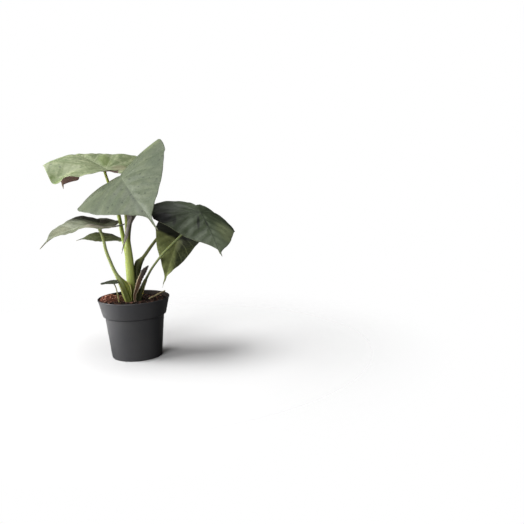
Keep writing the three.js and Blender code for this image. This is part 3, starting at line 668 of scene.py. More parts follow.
def stalk_path(leaf):
    """Rows of the stalk from the soil to the blade, their section axes, and the run up to each."""
    u, v = (np.array([along], float) for along in leaf.get("meet", (0, 0)))
    zero = np.zeros(1)
    normal = blade_normals(leaf, u, v, zero)[0]
    top, size = blade_points(leaf, u, v, zero)[0], leaf["stalk"][-1][3:]
    sunk = 0.4
    joint = [(*(top - normal * leaf["reach"]), *size), (*(top - normal * sunk), *size)]
    rows, tangents = curve_through([*leaf["stalk"], *joint], 8)
    across, deep = section_axes(tangents)
    run = np.concatenate([[0], np.cumsum(np.linalg.norm(np.diff(rows[:, :3], axis=0), axis=1))])
    return rows, across, deep, run


def leaf_stalk(name, leaf, material):
    """One stalk: a tube along its stations, channelled where it sheathes, flared under the blade."""
    sides, ribs, fade, flare_run = 28, 7, 26, 9
    rows, across, deep, run = stalk_path(leaf)
    bm = tube(sides, len(rows) - 1)
    co = np.array([vertex.co for vertex in bm.verts])
    ring = np.rint(co[:, 2]).astype(int)
    angle = np.arctan2(co[:, 1], co[:, 0])
    turn = np.abs((angle - math.radians(leaf["opening"]) + math.pi) % math.tau - math.pi)
    height = rows[ring, 2]
    sheathing = 1 - smooth_step(leaf["sheath_top"] - fade, leaf["sheath_top"], height)
    channel = (0.05 + 0.3 * sheathing) * np.exp(-(turn / 0.6) ** 2)
    lips = 0.1 * sheathing * np.exp(-((turn - 0.95) / 0.3) ** 2)
    flare = 1 + 0.45 * smooth_step(run[-1] - flare_run, run[-1], run[ring])
    rib = 1 + 0.012 * np.sin(ribs * angle)
    scale = (1 - channel + lips) * flare * rib
    place_vertices(bm, beside(
        rows[ring], across[ring], deep[ring], rows[ring, 3] * scale * np.cos(angle),
        rows[ring, 4] * scale * np.sin(angle)))
    bmesh.ops.recalc_face_normals(bm, faces=bm.faces)
    piece = make_piece(f"{name}_stalk", bm, [material], f"petiole_{name}")
    inside = -sheathing * smooth_step(1.3, 0.7, turn) if "sheath" in leaf else 0 * turn
    give_vectors(piece, "grain", (angle * rows[ring, 3] * MM, run[ring] * MM, inside))
    return piece


def leaf_sheath(name, leaf, material):
    """The open sheath round a stalk's foot: a grid wrapped round the stalk, its edges spread."""
    sheath = leaf["sheath"]
    steps, count, stand_off = 44, 36, 0.4
    rows, across, deep, run = stalk_path(leaf)
    start, stop = (np.interp(sheath[key], rows[:, 2], run) for key in ("low", "top"))
    bm = bmesh.new()
    bmesh.ops.create_grid(bm, x_segments=steps, y_segments=count, size=1)
    co = np.array([vertex.co for vertex in bm.verts])
    side, rise = co[:, 0], (co[:, 1] + 1) / 2
    along = start + (stop - start) * rise
    rows, across, deep = (np.stack([np.interp(along, run, column) for column in table.T], axis=1)
                          for table in (rows, across, deep))
    gap, wing = (np.where(side < 0, *sheath[key]) for key in ("gaps", "wings"))
    turn = math.radians(leaf["opening"]) + math.pi * (1 + side) - side * np.radians(gap)
    opens = smooth_step(sheath["start"], sheath["widest"], rise)
    spread = opens * (1 - smooth_step(sheath["widest"], 1, rise))
    wave = 1 + 0.05 * np.sin(9 * rise + 3 * side) + 0.03 * np.sin(23 * rise)
    extra = stand_off + np.abs(side) ** 4 * wing * spread * wave
    place_vertices(bm, beside(
        rows, across, deep, (rows[:, 3] + extra) * np.cos(turn), (rows[:, 4] + extra) * np.sin(turn)))
    piece = make_piece(f"{name}_sheath", bm, [material])
    lip = smooth_step(0.93, 1, np.abs(side)) * smooth_step(0.2, 0.6, rise)
    inside = smooth_step(0.55, 0.9, np.abs(side)) * smooth_step(1, 4, wing * spread)
    part = np.where(lip > 0.1, lip, -inside)
    give_vectors(piece, "grain", (turn * rows[:, 3] * MM, along * MM, part))
    shell = piece.modifiers.new("thickness", "SOLIDIFY")
    shell.thickness = 0.5 * MM
    shell.offset = 0
    return piece


# Materials of the leaves and stalks

def lay_patches(tree, flat, colour, patches):
    """The colour socket with each soft-edged oval mixed over it."""
    for patch in patches:
        (u, v), (long, wide) = patch["at"], patch["size"]
        moved = add(tree, "ShaderNodeVectorMath", {"operation": "SUBTRACT"},
                    {0: flat.outputs["Vector"], 1: (u * MM, v * MM, 0)})
        oval = add(tree, "ShaderNodeMapping", {"vector_type": "TEXTURE"},
                   {"Vector": moved.outputs[0], "Rotation": (0, 0, math.radians(patch.get("turn", 0))),
                    "Scale": (long * MM, wide * MM, 1e6)})
        off = add(tree, "ShaderNodeVectorMath", {"operation": "LENGTH"}, {0: oval.outputs[0]})
        colour = lay_over(tree, colour, solid(patch["colour"]), off.outputs["Value"],
                          (patch.get("core", 0.4), 1.1), (patch["share"], 0))
    return colour


def vein_distances(tree, veins):
    """How far it is to the nearest side vein and to the midrib, from a leaf's vein numbers."""
    field = add(tree, "ShaderNodeSeparateXYZ", inputs={0: veins.outputs["Vector"]})
    off_vein = add(tree, "ShaderNodeMath", {"operation": "PINGPONG"}, {0: field.outputs["X"], 1: 0.5})
    gap = add(tree, "ShaderNodeMath", {"operation": "MULTIPLY"},
              {0: off_vein.outputs[0], 1: field.outputs["Y"]})
    return gap.outputs[0], field.outputs["Z"]


def leaf_face_material(name, face, look, sizes):
    """Upper face of an aroid leaf: a smooth waxy cuticle with a grey bloom, so soft wide
    highlights, pale veins in shallow grooves and a fine net between them."""
    material, tree, shader = start_material(
        f"{name}_leaf_waxy_cuticle", Specular_IOR_Level=look.get("gloss", 0.5))
    flat = add(tree, "ShaderNodeAttribute", {"attribute_name": "flat"})
    veins = add(tree, "ShaderNodeAttribute", {"attribute_name": "veins"})
    spot = add(tree, "ShaderNodeSeparateXYZ", inputs={0: flat.outputs["Vector"]})
    gap, midrib = vein_distances(tree, veins)
    place = add(tree, "ShaderNodeTexCoord").outputs["Object"]

    # Side veins thin out towards the edge
    thinned = add(tree, "ShaderNodeMath", {"operation": "MULTIPLY_ADD"},
                  {0: spot.outputs["Z"], 1: sizes.side_vein * 0.8, 2: gap})
    side = add(tree, "ShaderNodeMapRange", SMOOTH, {
        "Value": thinned.outputs[0], 1: sizes.side_vein * 0.3, 2: sizes.side_vein * 1.5, 3: 1.0, 4: 0.0})
    main = add(tree, "ShaderNodeMapRange", SMOOTH, {
        "Value": midrib, 1: sizes.main_vein * 0.5, 2: sizes.main_vein * 1.2, 3: 1.0, 4: 0.0})
    vein = add(tree, "ShaderNodeMath", {"operation": "MAXIMUM"},
               {0: side.outputs[0], 1: main.outputs[0]})
    net = add(tree, "ShaderNodeTexVoronoi", {"feature": "DISTANCE_TO_EDGE"},
              {"Vector": place, "Scale": per(4.5)})
    net_line = add(tree, "ShaderNodeMapRange", SMOOTH,
                   {"Value": net.outputs["Distance"], 1: 0.0, 2: 0.14, 3: 1.0, 4: 0.0})

    # Mottling at the size of a thumbprint, the finer grain of the tissue, and streaks that run
    # with the side veins, which the field's first number counts
    cloud = add(tree, "ShaderNodeTexNoise", inputs={"Vector": place, "Scale": per(22), "Detail": 4.0})
    fleck = add(tree, "ShaderNodeTexNoise",
                inputs={"Vector": place, "Scale": per(6), "Detail": 5.0, "Roughness": 0.6})
    strands = add(tree, "ShaderNodeMapping",
                  inputs={"Vector": veins.outputs["Vector"], "Scale": (4, 0, per(26))})
    streak = add(tree, "ShaderNodeTexNoise",
                 inputs={"Vector": strands.outputs[0], "Scale": 1.0, "Detail": 3.0})
    colour = (*face, 1)
    for pattern, between, strength, rise in (
            (cloud, (0.35, 0.7), 0.85, LINEAR),
            (fleck, (0.46, 0.62), look.get("mottle", 0.35), SMOOTH),
            (streak, (0.43, 0.58), look.get("streaks", 0.2), SMOOTH)):
        colour = lay_over(tree, colour, solid(look["shade"]), pattern.outputs["Fac"], between,
                          (0, strength), rise)
    colour = lay_patches(tree, flat, colour, look["patches"])
    # Small dark specks: a cell of the leaf holds one whose size is its chance, or none
    speck = add(tree, "ShaderNodeTexVoronoi", {"feature": "F1", "voronoi_dimensions": "2D"},
                {"Vector": flat.outputs["Vector"], "Scale": per(12)})
    chance = add(tree, "ShaderNodeSeparateColor", inputs={0: speck.outputs["Color"]})
    speck_size = add(tree, "ShaderNodeMath", {"operation": "MULTIPLY_ADD"},
                     {0: chance.outputs[0], 1: 0.36, 2: -0.16})
    speck_edge = add(tree, "ShaderNodeMath", {"operation": "SUBTRACT"},
                     {0: speck_size.outputs[0], 1: speck.outputs["Distance"]})
    colour = lay_over(tree, colour, solid("313d28"), speck_edge.outputs[0], (-0.03, 0.05),
                      (0, look["specks"]))
    net_share = add(tree, "ShaderNodeMath", {"operation": "MULTIPLY"}, {0: net_line.outputs[0], 1: 0.12})
    vein_share = add(tree, "ShaderNodeMath", {"operation": "MULTIPLY_ADD"},
                     {0: vein.outputs[0], 1: look["vein_share"], 2: net_share.outputs[0]})
    veined = add(tree, "ShaderNodeMix", RGBA,
                 {MIX_FACTOR: vein_share.outputs[0], MIX_A: colour, MIX_B: solid(look["vein"])})
    # Dark specks, and on some leaves painted shadow, painted shade and a painted highlight, lie over the
    # veins
    colour = lay_patches(tree, flat, veined.outputs[MIX_RESULT], look.get("spots_and_painted_light", []))

    grain = add(tree, "ShaderNodeTexNoise", inputs={"Vector": place, "Scale": per(1.6), "Detail": 3.0})
    low, high = look["roughness"] - 0.06, look["roughness"] + 0.08
    sheen = add(tree, "ShaderNodeMapRange",
                inputs={"Value": cloud.outputs["Fac"], 1: 0.3, 2: 0.7, 3: low, 4: high})
    tree.links.new(sheen.outputs[0], shader.inputs["Roughness"])
    height = add(tree, "ShaderNodeMath", {"operation": "MULTIPLY_ADD"},
                 {0: net_line.outputs[0], 1: -0.5, 2: grain.outputs["Fac"]})
    end_material(tree, shader, colour, height.outputs[0], 0.35, 0.25)
    return material


def underside_material(name, tissue_colour, worn):
    """Underside of a leaf: matt and purple-bronze, with the ribs standing out pale green."""
    material, tree, shader = start_material(name, Roughness=0.55)
    veins = add(tree, "ShaderNodeAttribute", {"attribute_name": "veins"})
    place = add(tree, "ShaderNodeTexCoord").outputs["Object"]
    cloud = add(tree, "ShaderNodeTexNoise", inputs={"Vector": place, "Scale": per(15), "Detail": 4.0})
    tissue = lay_over(
        tree, (*tissue_colour, 1), solid(worn), cloud.outputs["Fac"], (0.35, 0.7), (0, 1), LINEAR)
    gap, midrib = vein_distances(tree, veins)
    near = add(tree, "ShaderNodeMath", {"operation": "MINIMUM"}, {0: gap, 1: midrib})
    whole = lay_over(tree, tissue, solid("9a9a70"), near.outputs[0], (0.3 * MM, 1.6 * MM), (0.6, 0))
    grain = add(tree, "ShaderNodeTexNoise", inputs={"Vector": place, "Scale": per(1.2), "Detail": 3.0})
    end_material(tree, shader, whole, grain.outputs["Fac"], 0.3, 0.2)
    return material


def margin_material():
    """The leaf's cut edge: a thin translucent rim that catches the light, faintly pink."""
    material, tree, shader = start_material("leaf_margin_rim", Roughness=0.45)
    place = add(tree, "ShaderNodeTexCoord").outputs["Object"]
    cloud = add(tree, "ShaderNodeTexNoise", inputs={"Vector": place, "Scale": per(12), "Detail": 2.0})
    whole = add(tree, "ShaderNodeMix", RGBA,
                {MIX_FACTOR: cloud.outputs["Fac"], MIX_A: solid("8f9a72"), MIX_B: solid("8a7a63")})
    tree.links.new(whole.outputs[MIX_RESULT], shader.inputs["Base Color"])
    return material


def stalk_material(name, look):
    """Leaf stalk: smooth fleshy green tissue with fine lengthwise streaks, darker with age, darker
    inside the sheath partly by its own colour and partly by painted shade, with a dry lip along the
    sheath."""
    material, tree, shader = start_material(
        f"{name}_stalk_fleshy", Roughness=0.5, Specular_IOR_Level=look.get("gloss", 0.4),
        Subsurface_Weight=0.5, Subsurface_Scale=4 * MM, Subsurface_Radius=(1, 0.9, 0.4))
    grain, streak = streaks_along(tree, 1.8, 0.04)
    parts = add(tree, "ShaderNodeSeparateXYZ", inputs={0: grain})
    place = add(tree, "ShaderNodeTexCoord").outputs["Object"]
    height = add(tree, "ShaderNodeSeparateXYZ", inputs={0: place})
    whole = lay_over(
        tree, solid(look["young"]), solid(look["old"]), streak, (0.35, 0.75), (0, 0.6), LINEAR)
    low, high = look.get("foot_between", (98, 122))
    whole = lay_over(
        tree, whole, solid(look["foot"]), height.outputs["Z"], (low * MM, high * MM), (0.85, 0))
    # The grain's third number is up to 1 on the sheath's lip and down to -1 inside it, where the darker
    # colour is partly the sheath's own and partly painted shade
    for full, colour in ((1, look.get("lip", "7c4f38")), (-1, look.get("inside", look["foot"]))):
        whole = lay_over(tree, whole, solid(colour), parts.outputs["Z"], (0, full), (0, 0.85))
    end_material(tree, shader, whole, streak, 0.3, 0.2)
    return material


# Colours of each stalk from the top down, with those of the sheath's inside and its lip.
# foot_between is where the foot's colour fades out, in millimetres above the ground.
STALK_LOOKS = {
    "front": dict(young="b3c06c", old="9cab54", foot="8a9546", foot_between=(98, 135)),
    "left": dict(
        young="b4be84", old="9aa860", foot="8b9345", foot_between=(96, 146), inside="5a6124",
        lip="ab875a"),
    "hanging": dict(
        young="868b5c", old="666b42", foot="262a10", foot_between=(150, 172), lip="6f7838", gloss=0.1),
    "right": dict(
        young="98a36e", old="7a8450", foot="2e311a", foot_between=(128, 180), inside="23240f",
        lip="a08e68", gloss=0.2),
    "upper": dict(young="a9ba58", old="8fa24a", foot="8a9648"),
    "folded": dict(young="8c995a", old="727e44", foot="565c30"),
    "small": dict(young="7f8e52", old="66733e", foot="525830"),
    "low": dict(young="a3a37c", old="8c8c60", foot="8a8058"),
}


class ELEPHANT_EAR_OT_leaves(bpy.types.Operator):
    """Make the eight leaf blades."""

    bl_idname = "elephant_ear.leaves"
    bl_label = "Leaf blades"

    def execute(self, context):
        sizes, colours = context.scene.elephant_ear_sizes, context.scene.elephant_ear_colours
        plain_underside = underside_material("leaf_underside_bronze", colours.underside, "8c7668")
        # The upper leaf's underside is a lighter copy, painted light on the turned-down tip that its own
        # blade shades
        painted_light_underside = underside_material("painted_lit_leaf_underside", linear("b48f86"), "c2a598")
        margin = margin_material()
        for name, leaf in LEAVES.items():
            face = leaf_face_material(name, getattr(colours, name), LOOKS[name], sizes)
            leaf_blade(name, leaf, sizes, face, painted_light_underside if name == "upper" else plain_underside, margin)
        return {"FINISHED"}


class ELEPHANT_EAR_OT_stalks(bpy.types.Operator):
    """Make the stalk of every leaf, with its sheath."""

    bl_idname = "elephant_ear.stalks"
    bl_label = "Leaf stalks"

    def execute(self, context):
        for name, leaf in LEAVES.items():
            material = stalk_material(name, STALK_LOOKS[name])
            leaf_stalk(name, leaf, material)
            if "sheath" in leaf:
                leaf_sheath(name, leaf, material)
        return {"FINISHED"}


# Bract and dry stalk

def bract_material():
    """Dry bract: papery tissue, near black at its tip and rust brown below, with lengthwise
    fibres and bleached edges, dull."""
    material, tree, shader = start_material("bract_dry_paper", Roughness=0.8)
    grain, fibre = streaks_along(tree, 1.1, 0.05)
    parts = add(tree, "ShaderNodeSeparateXYZ", inputs={0: grain})
    place = add(tree, "ShaderNodeTexCoord").outputs["Object"]
    height = add(tree, "ShaderNodeSeparateXYZ", inputs={0: place})
    rust, tip = (lay_over(tree, solid(dark), solid(light), fibre, (0.35, 0.65), (0, 1), LINEAR)
                 for dark, light in (("24170d", "674529"), ("241e1a", "463c35")))
    whole = lay_over(tree, rust, tip, height.outputs["Z"], (130 * MM, 141 * MM), (0, 1))
    # Each edge is bleached from its own share of the width outwards, up to its own height
    for inner, outer, top in ((-0.5, -0.66, 149), (0.45, 0.62, 131)):
        edge = add(tree, "ShaderNodeMapRange", SMOOTH,
                   {"Value": parts.outputs["Z"], 1: inner, 2: outer})
        below = add(tree, "ShaderNodeMapRange", SMOOTH,
                    {"Value": height.outputs["Z"], 1: (top - 12) * MM, 2: top * MM, 3: 0.9, 4: 0.0})
        bleached = add(tree, "ShaderNodeMath", {"operation": "MULTIPLY"},
                       {0: edge.outputs[0], 1: below.outputs[0]})
        mixed = add(tree, "ShaderNodeMix", RGBA,
                    {MIX_FACTOR: bleached.outputs[0], MIX_A: whole, MIX_B: solid("c9b998")})
        whole = mixed.outputs[MIX_RESULT]
    end_material(tree, shader, whole, fibre, 0.6, 0.3)
    return material


class ELEPHANT_EAR_OT_bract(bpy.types.Operator):
    """Make the dry bract between the stalks."""

    bl_idname = "elephant_ear.bract"
    bl_label = "Dry bract"

    def execute(self, context):
        rows, tangents = curve_through(BRACT, 10)
        across, deep = section_axes(tangents)
        steps, count = 16, len(rows) - 1
        bm = bmesh.new()
        bmesh.ops.create_grid(bm, x_segments=steps, y_segments=count, size=1)
        co = np.array([vertex.co for vertex in bm.verts])
        ring = np.rint((co[:, 1] + 1) / 2 * count).astype(int)
        side = co[:, 0]
        # A cupped strip: a cosine across it, with a crinkle along its edges
        wrap = math.radians(75)
        widths = rows[ring, 3] * (1 + 0.1 * np.sin(ring * 0.9) * side)
        cup = 0.45 * (np.cos(side * wrap) - 0.4) + 0.05 * np.sin(ring * 0.6 + 3 * side)
        place_vertices(bm, beside(
            rows[ring], across[ring], deep[ring], widths * np.sin(side * wrap) / math.sin(wrap),
            -widths * cup))
        piece = make_piece("dry_bract", bm, [bract_material()], "bract")
        give_vectors(piece, "grain", (side * widths * MM, ring * 1.5 * MM, side))
        shell = piece.modifiers.new("thickness", "SOLIDIFY")
        shell.thickness = 0.6 * MM
        shell.offset = 0
        return {"FINISHED"}


def straw_material():
    """Dead leaf stalk: bleached straw with fine lengthwise cracks, dull."""
    material, tree, shader = start_material("dry_stalk_straw", Roughness=0.85)
    _, fibre = streaks_along(tree, 0.7, 0.08)
    whole = add(tree, "ShaderNodeMix", RGBA,
                {MIX_FACTOR: fibre, MIX_A: solid("a29468"), MIX_B: solid("dccfa6")})
    end_material(tree, shader, whole.outputs[MIX_RESULT], fibre, 0.6, 0.2)
    return material


class ELEPHANT_EAR_OT_dry_stalk(bpy.types.Operator):
    """Make the dry stalk that lies on the soil with one end on the lip."""

    bl_idname = "elephant_ear.dry_stalk"
    bl_label = "Dry stalk"

    def execute(self, context):
        sides, samples = 14, 16
        rows, tangents = curve_through(DRY_STALK, samples)
        across, deep = section_axes(tangents)
        bm = tube(sides, len(rows) - 1)
        co = np.array([vertex.co for vertex in bm.verts])
        ring, angle = np.rint(co[:, 2]).astype(int), np.arctan2(co[:, 1], co[:, 0])
        shrivel = 1 + 0.14 * np.sin(3 * angle + ring * 0.25) + 0.08 * np.sin(ring * 1.1)
        place_vertices(bm, beside(
            rows[ring], across[ring], deep[ring], rows[ring, 3] * shrivel * np.cos(angle),
            rows[ring, 4] * shrivel * np.sin(angle)))
        bmesh.ops.recalc_face_normals(bm, faces=bm.faces)
        piece = make_piece("dry_straw", bm, [straw_material()], "dry_stalk")
        give_vectors(piece, "grain", (angle * MM, ring * 1.3 * MM, 0 * angle))
        return {"FINISHED"}


# Pot

# How far the collar's wall leans out for each unit of height, and how tall the collar is
COLLAR_SLOPE = 0.245
COLLAR_HEIGHT = 26 * MM


def pot_material(colours):
    """Nursery pot: moulded polypropylene with recycled black, so a dull even sheen, faint
    flow clouds, and dust where it has been handled."""
    material, tree, shader = start_material("pot_moulded_polypropylene", Specular_IOR_Level=0.5)
    place = add(tree, "ShaderNodeTexCoord").outputs["Object"]
    cloud = add(tree, "ShaderNodeTexNoise", inputs={"Vector": place, "Scale": per(35), "Detail": 5.0})
    bare_plastic = lay_over(
        tree, (*colours.pot, 1), solid("545352"), cloud.outputs["Fac"], (0.4, 0.75), (0, 0.35), LINEAR)
    # The inside of the collar is darkened soil-brown and made rough: partly a soil stain, partly painted
    # shade on the inner wall above the soil
    across = add(tree, "ShaderNodeVectorMath", {"operation": "MULTIPLY"}, {0: place, 1: (1, 1, 0)})
    off_axis = add(tree, "ShaderNodeVectorMath", {"operation": "LENGTH"}, {0: across.outputs[0]})
    high = add(tree, "ShaderNodeSeparateXYZ", inputs={0: place})
    below_lip = add(tree, "ShaderNodeMath", {"operation": "SUBTRACT"},
                    {0: high.outputs["Z"], 1: POT_HEIGHT})
    upright = add(tree, "ShaderNodeMath", {"operation": "MULTIPLY_ADD"},
                  {0: below_lip.outputs[0], 1: -COLLAR_SLOPE, 2: off_axis.outputs["Value"]})
    inner_wall_share = add(tree, "ShaderNodeMapRange", SMOOTH, {
        "Value": upright.outputs[0], 1: POT_RADIUS - 0.5 * MM, 2: POT_RADIUS - 1.1 * MM, 4: 0.95})
    collar = add(tree, "ShaderNodeMath", {"operation": "GREATER_THAN"},
                 {0: below_lip.outputs[0], 1: -COLLAR_HEIGHT})
    soil_stain_and_shade = add(tree, "ShaderNodeMath", {"operation": "MULTIPLY"},
                  {0: inner_wall_share.outputs[0], 1: collar.outputs[0]})
    whole = add(tree, "ShaderNodeMix", RGBA,
                {MIX_FACTOR: soil_stain_and_shade.outputs[0], MIX_A: bare_plastic, MIX_B: solid("20140a")})
    satin = add(tree, "ShaderNodeMapRange",
                inputs={"Value": cloud.outputs["Fac"], 1: 0.3, 2: 0.7, 3: 0.3, 4: 0.42})
    rough = add(tree, "ShaderNodeMath", {"operation": "MAXIMUM"},
                {0: satin.outputs[0], 1: soil_stain_and_shade.outputs[0]})
    tree.links.new(rough.outputs[0], shader.inputs["Roughness"])
    # The moulded grain is finer than a pixel, so it is drawn a little coarser than it is
    grain = add(tree, "ShaderNodeTexNoise", inputs={"Vector": place, "Scale": per(0.8), "Detail": 2.0})
    end_material(tree, shader, whole.outputs[MIX_RESULT], grain.outputs["Fac"], 0.12, 0.1)
    return material


class ELEPHANT_EAR_OT_pot(bpy.types.Operator):
    """Make the nursery pot."""

    bl_idname = "elephant_ear.pot"
    bl_label = "Nursery pot"

    def execute(self, context):
        wall = 1.2
        rim, top = POT_RADIUS / MM, POT_HEIGHT / MM
        # Radius and height from the middle of the foot up the outside, over the lip and down
        profile = [
            (0, 0.8), (22, 0.8), (23.5, 0), (40.5, 0), (42, 1.5), (49.3, 70), (53, 72.5),
            (59.2, top - 2.6), (rim, top - 2.2), (rim, top), (rim - 1.6, top), (58, top - 2.6),
            (51.8, 73.7), (48.1, 70.6),
            (42 - wall, 2.4), (40, wall), (24, wall), (22.5, 2), (0, 2),
        ]
        bm = spun(profile, 144)
        bmesh.ops.recalc_face_normals(bm, faces=bm.faces)
        # The level rings of the collar and lip, which start above this height, get a round edge
        collar_foot = 60 * MM
        sharp = [e for e in bm.edges if len(e.link_faces) == 2
                 and e.calc_face_angle(0) > math.radians(20)
                 and abs(e.verts[0].co.z - e.verts[1].co.z) < 0.01 * MM
                 and e.verts[0].co.z > collar_foot]
        bmesh.ops.bevel(bm, geom=sharp, offset=0.45 * MM, segments=3, profile=0.5, affect="EDGES",
                        material=-1)
        piece = make_piece("nursery_pot", bm, [pot_material(context.scene.elephant_ear_colours)],
                           "pot")
        self.drill(piece)
        piece.data.set_sharp_from_angle(angle=math.radians(35))
        return {"FINISHED"}

    def drill(self, piece):
        """Cuts the drain holes in a ring round the middle of the base."""
        holes, radius, circle = 8, 4.5 * MM, 31 * MM
        bm = bmesh.new()
        for i in range(holes):
            place = Matrix.Rotation(math.tau * i / holes, 4, "Z") @ Matrix.Translation((circle, 0, 0))
            bmesh.ops.create_cone(bm, cap_ends=True, segments=28, radius1=radius, radius2=radius,
                                  depth=8 * MM, matrix=place)
        drill = make_object("drill", bm)
        cut = piece.modifiers.new("drain_holes", "BOOLEAN")
        cut.object = drill
        cut.operation = "DIFFERENCE"
        cut.solver = "EXACT"
        graph = bpy.context.evaluated_depsgraph_get()
        drilled = bpy.data.meshes.new_from_object(piece.evaluated_get(graph))
        piece.modifiers.clear()
        piece.data = drilled
        bpy.data.objects.remove(drill)


# Soil, chips and fibres

# The soil's radius inside the collar, its height there, how far it rises to the middle, and
# the heap of chips at the left: its height, place and half widths, all in millimetres.
SOIL_INNER = 56.4
SOIL_LEVEL = 94.5
SOIL_HEAP = 0.8
LEFT_HEAP = 10.5
HEAP_X, HEAP_Y = -41, -4
HEAP_WIDE, HEAP_DEEP = 20, 31


def soil_material(colours):
    """Damp peat and coir: dark, dull crumbs of many browns."""
    material, tree, shader = start_material("soil_damp_coir", Roughness=0.9, Specular_IOR_Level=0.3)
    place = add(tree, "ShaderNodeTexCoord").outputs["Object"]
    crumb = add(tree, "ShaderNodeTexVoronoi", {"feature": "F1"}, {"Vector": place, "Scale": per(2.2)})
    tone = add(tree, "ShaderNodeSeparateColor", inputs={0: crumb.outputs["Color"]})
    browns = add(tree, "ShaderNodeMix", RGBA,
                 {MIX_FACTOR: tone.outputs[0], MIX_A: (*colours.soil, 1), MIX_B: solid("140d0a")})
    from_heap = add(tree, "ShaderNodeVectorMath", {"operation": "DISTANCE"},
                    {0: place, 1: (HEAP_X * MM, HEAP_Y * MM, SOIL_LEVEL * MM)})
    whole = lay_over(tree, browns.outputs[MIX_RESULT], solid("6e3a2a"), from_heap.outputs["Value"],
                     (12 * MM, 32 * MM), (0.8, 0))
    fine = add(tree, "ShaderNodeTexNoise", inputs={"Vector": place, "Scale": per(1.1), "Detail": 4.0})
    height = add(tree, "ShaderNodeMath", {"operation": "ADD"},
                 {0: crumb.outputs["Distance"], 1: fine.outputs["Fac"]})
    end_material(tree, shader, whole, height.outputs[0], 0.9, 0.8)
    return material


def chip_material():
    """Coir husk and bark: dry fibrous chips from rust red to dark brown, quite dull."""
    material, tree, shader = start_material("chips_coir_and_bark", Roughness=0.85, Specular_IOR_Level=0.3)
    tint = add(tree, "ShaderNodeAttribute", {"attribute_name": "tint"})
    parts = add(tree, "ShaderNodeSeparateXYZ", inputs={0: tint.outputs["Vector"]})
    place = add(tree, "ShaderNodeTexCoord").outputs["Object"]
    fibre = add(tree, "ShaderNodeTexNoise", inputs={"Vector": place, "Scale": per(0.8), "Detail": 3.0})
    dark = add(tree, "ShaderNodeMix", RGBA,
               {MIX_FACTOR: parts.outputs["Y"], MIX_A: solid("0e0a07"), MIX_B: solid("3c2b20")})
    rust = add(tree, "ShaderNodeMix", RGBA,
               {MIX_FACTOR: parts.outputs["Y"], MIX_A: solid("97503a"), MIX_B: solid("e0a890")})
    blend = add(tree, "ShaderNodeMix", RGBA, {
        MIX_FACTOR: parts.outputs["X"], MIX_A: dark.outputs[MIX_RESULT], MIX_B: rust.outputs[MIX_RESULT]})
    worn = add(tree, "ShaderNodeMapRange",
               inputs={"Value": fibre.outputs["Fac"], 1: 0.3, 2: 0.7, 3: 0.7, 4: 1.2})
    whole = add(tree, "ShaderNodeVectorMath", {"operation": "SCALE"},
                {0: blend.outputs[MIX_RESULT], "Scale": worn.outputs[0]})
    end_material(tree, shader, whole.outputs[0], fibre.outputs["Fac"], 0.7, 0.4)
    return material


def heap_at(x, y):
    """Share of the full height of the heap of chips that leans on the pot's left wall."""
    return math.exp(-(((x - HEAP_X) / HEAP_WIDE) ** 2 + ((y - HEAP_Y) / HEAP_DEEP) ** 2))


def soil_height(x, y):
    """Height of the soil's surface without its lumps, in millimetres."""
    share = min(1, math.hypot(x, y) / SOIL_INNER)
    return SOIL_LEVEL + SOIL_HEAP * (1 - share * share) + LEFT_HEAP * heap_at(x, y)


class ELEPHANT_EAR_OT_soil(bpy.types.Operator):
    """Make the soil that fills the pot."""

    bl_idname = "elephant_ear.soil"
    bl_label = "Soil"

    def execute(self, context):
        rings = 26
        profile = [(0, 2.6), (40, 2.6), (47.5, 71.2), (51.2, 74.2), (SOIL_INNER - 0.3, SOIL_LEVEL - 0.6)]
        profile += [(SOIL_INNER * (1 - i / rings), SOIL_LEVEL) for i in range(rings + 1)]
        bm = spun(profile, 120)
        lump = context.scene.elephant_ear_sizes.soil_lump
        for vertex in bm.verts:
            x, y = vertex.co.x / MM, vertex.co.y / MM
            if vertex.co.z > (SOIL_LEVEL - 0.1) * MM:
                rough = noise.fractal(Vector((x, y, 0)) * 0.16, 0.9, 2.1, 4)
                vertex.co.z = soil_height(x, y) * MM + lump * rough
        bmesh.ops.recalc_face_normals(bm, faces=bm.faces)
        make_piece("soil_bed", bm, [soil_material(context.scene.elephant_ear_colours)], "soil")
        return {"FINISHED"}


def clear_of_stalks(x, y, room):
    """Whether a spot on the soil is at least room millimetres from every stalk and the bract."""
    for stations in [leaf["stalk"] for leaf in LEAVES.values()] + [BRACT]:
        cx, cy, _, half_width, half_depth = stations[1]
        if math.hypot((x - cx) / (half_width + room), (y - cy) / (half_depth + room)) < 1:
            return False
    return True


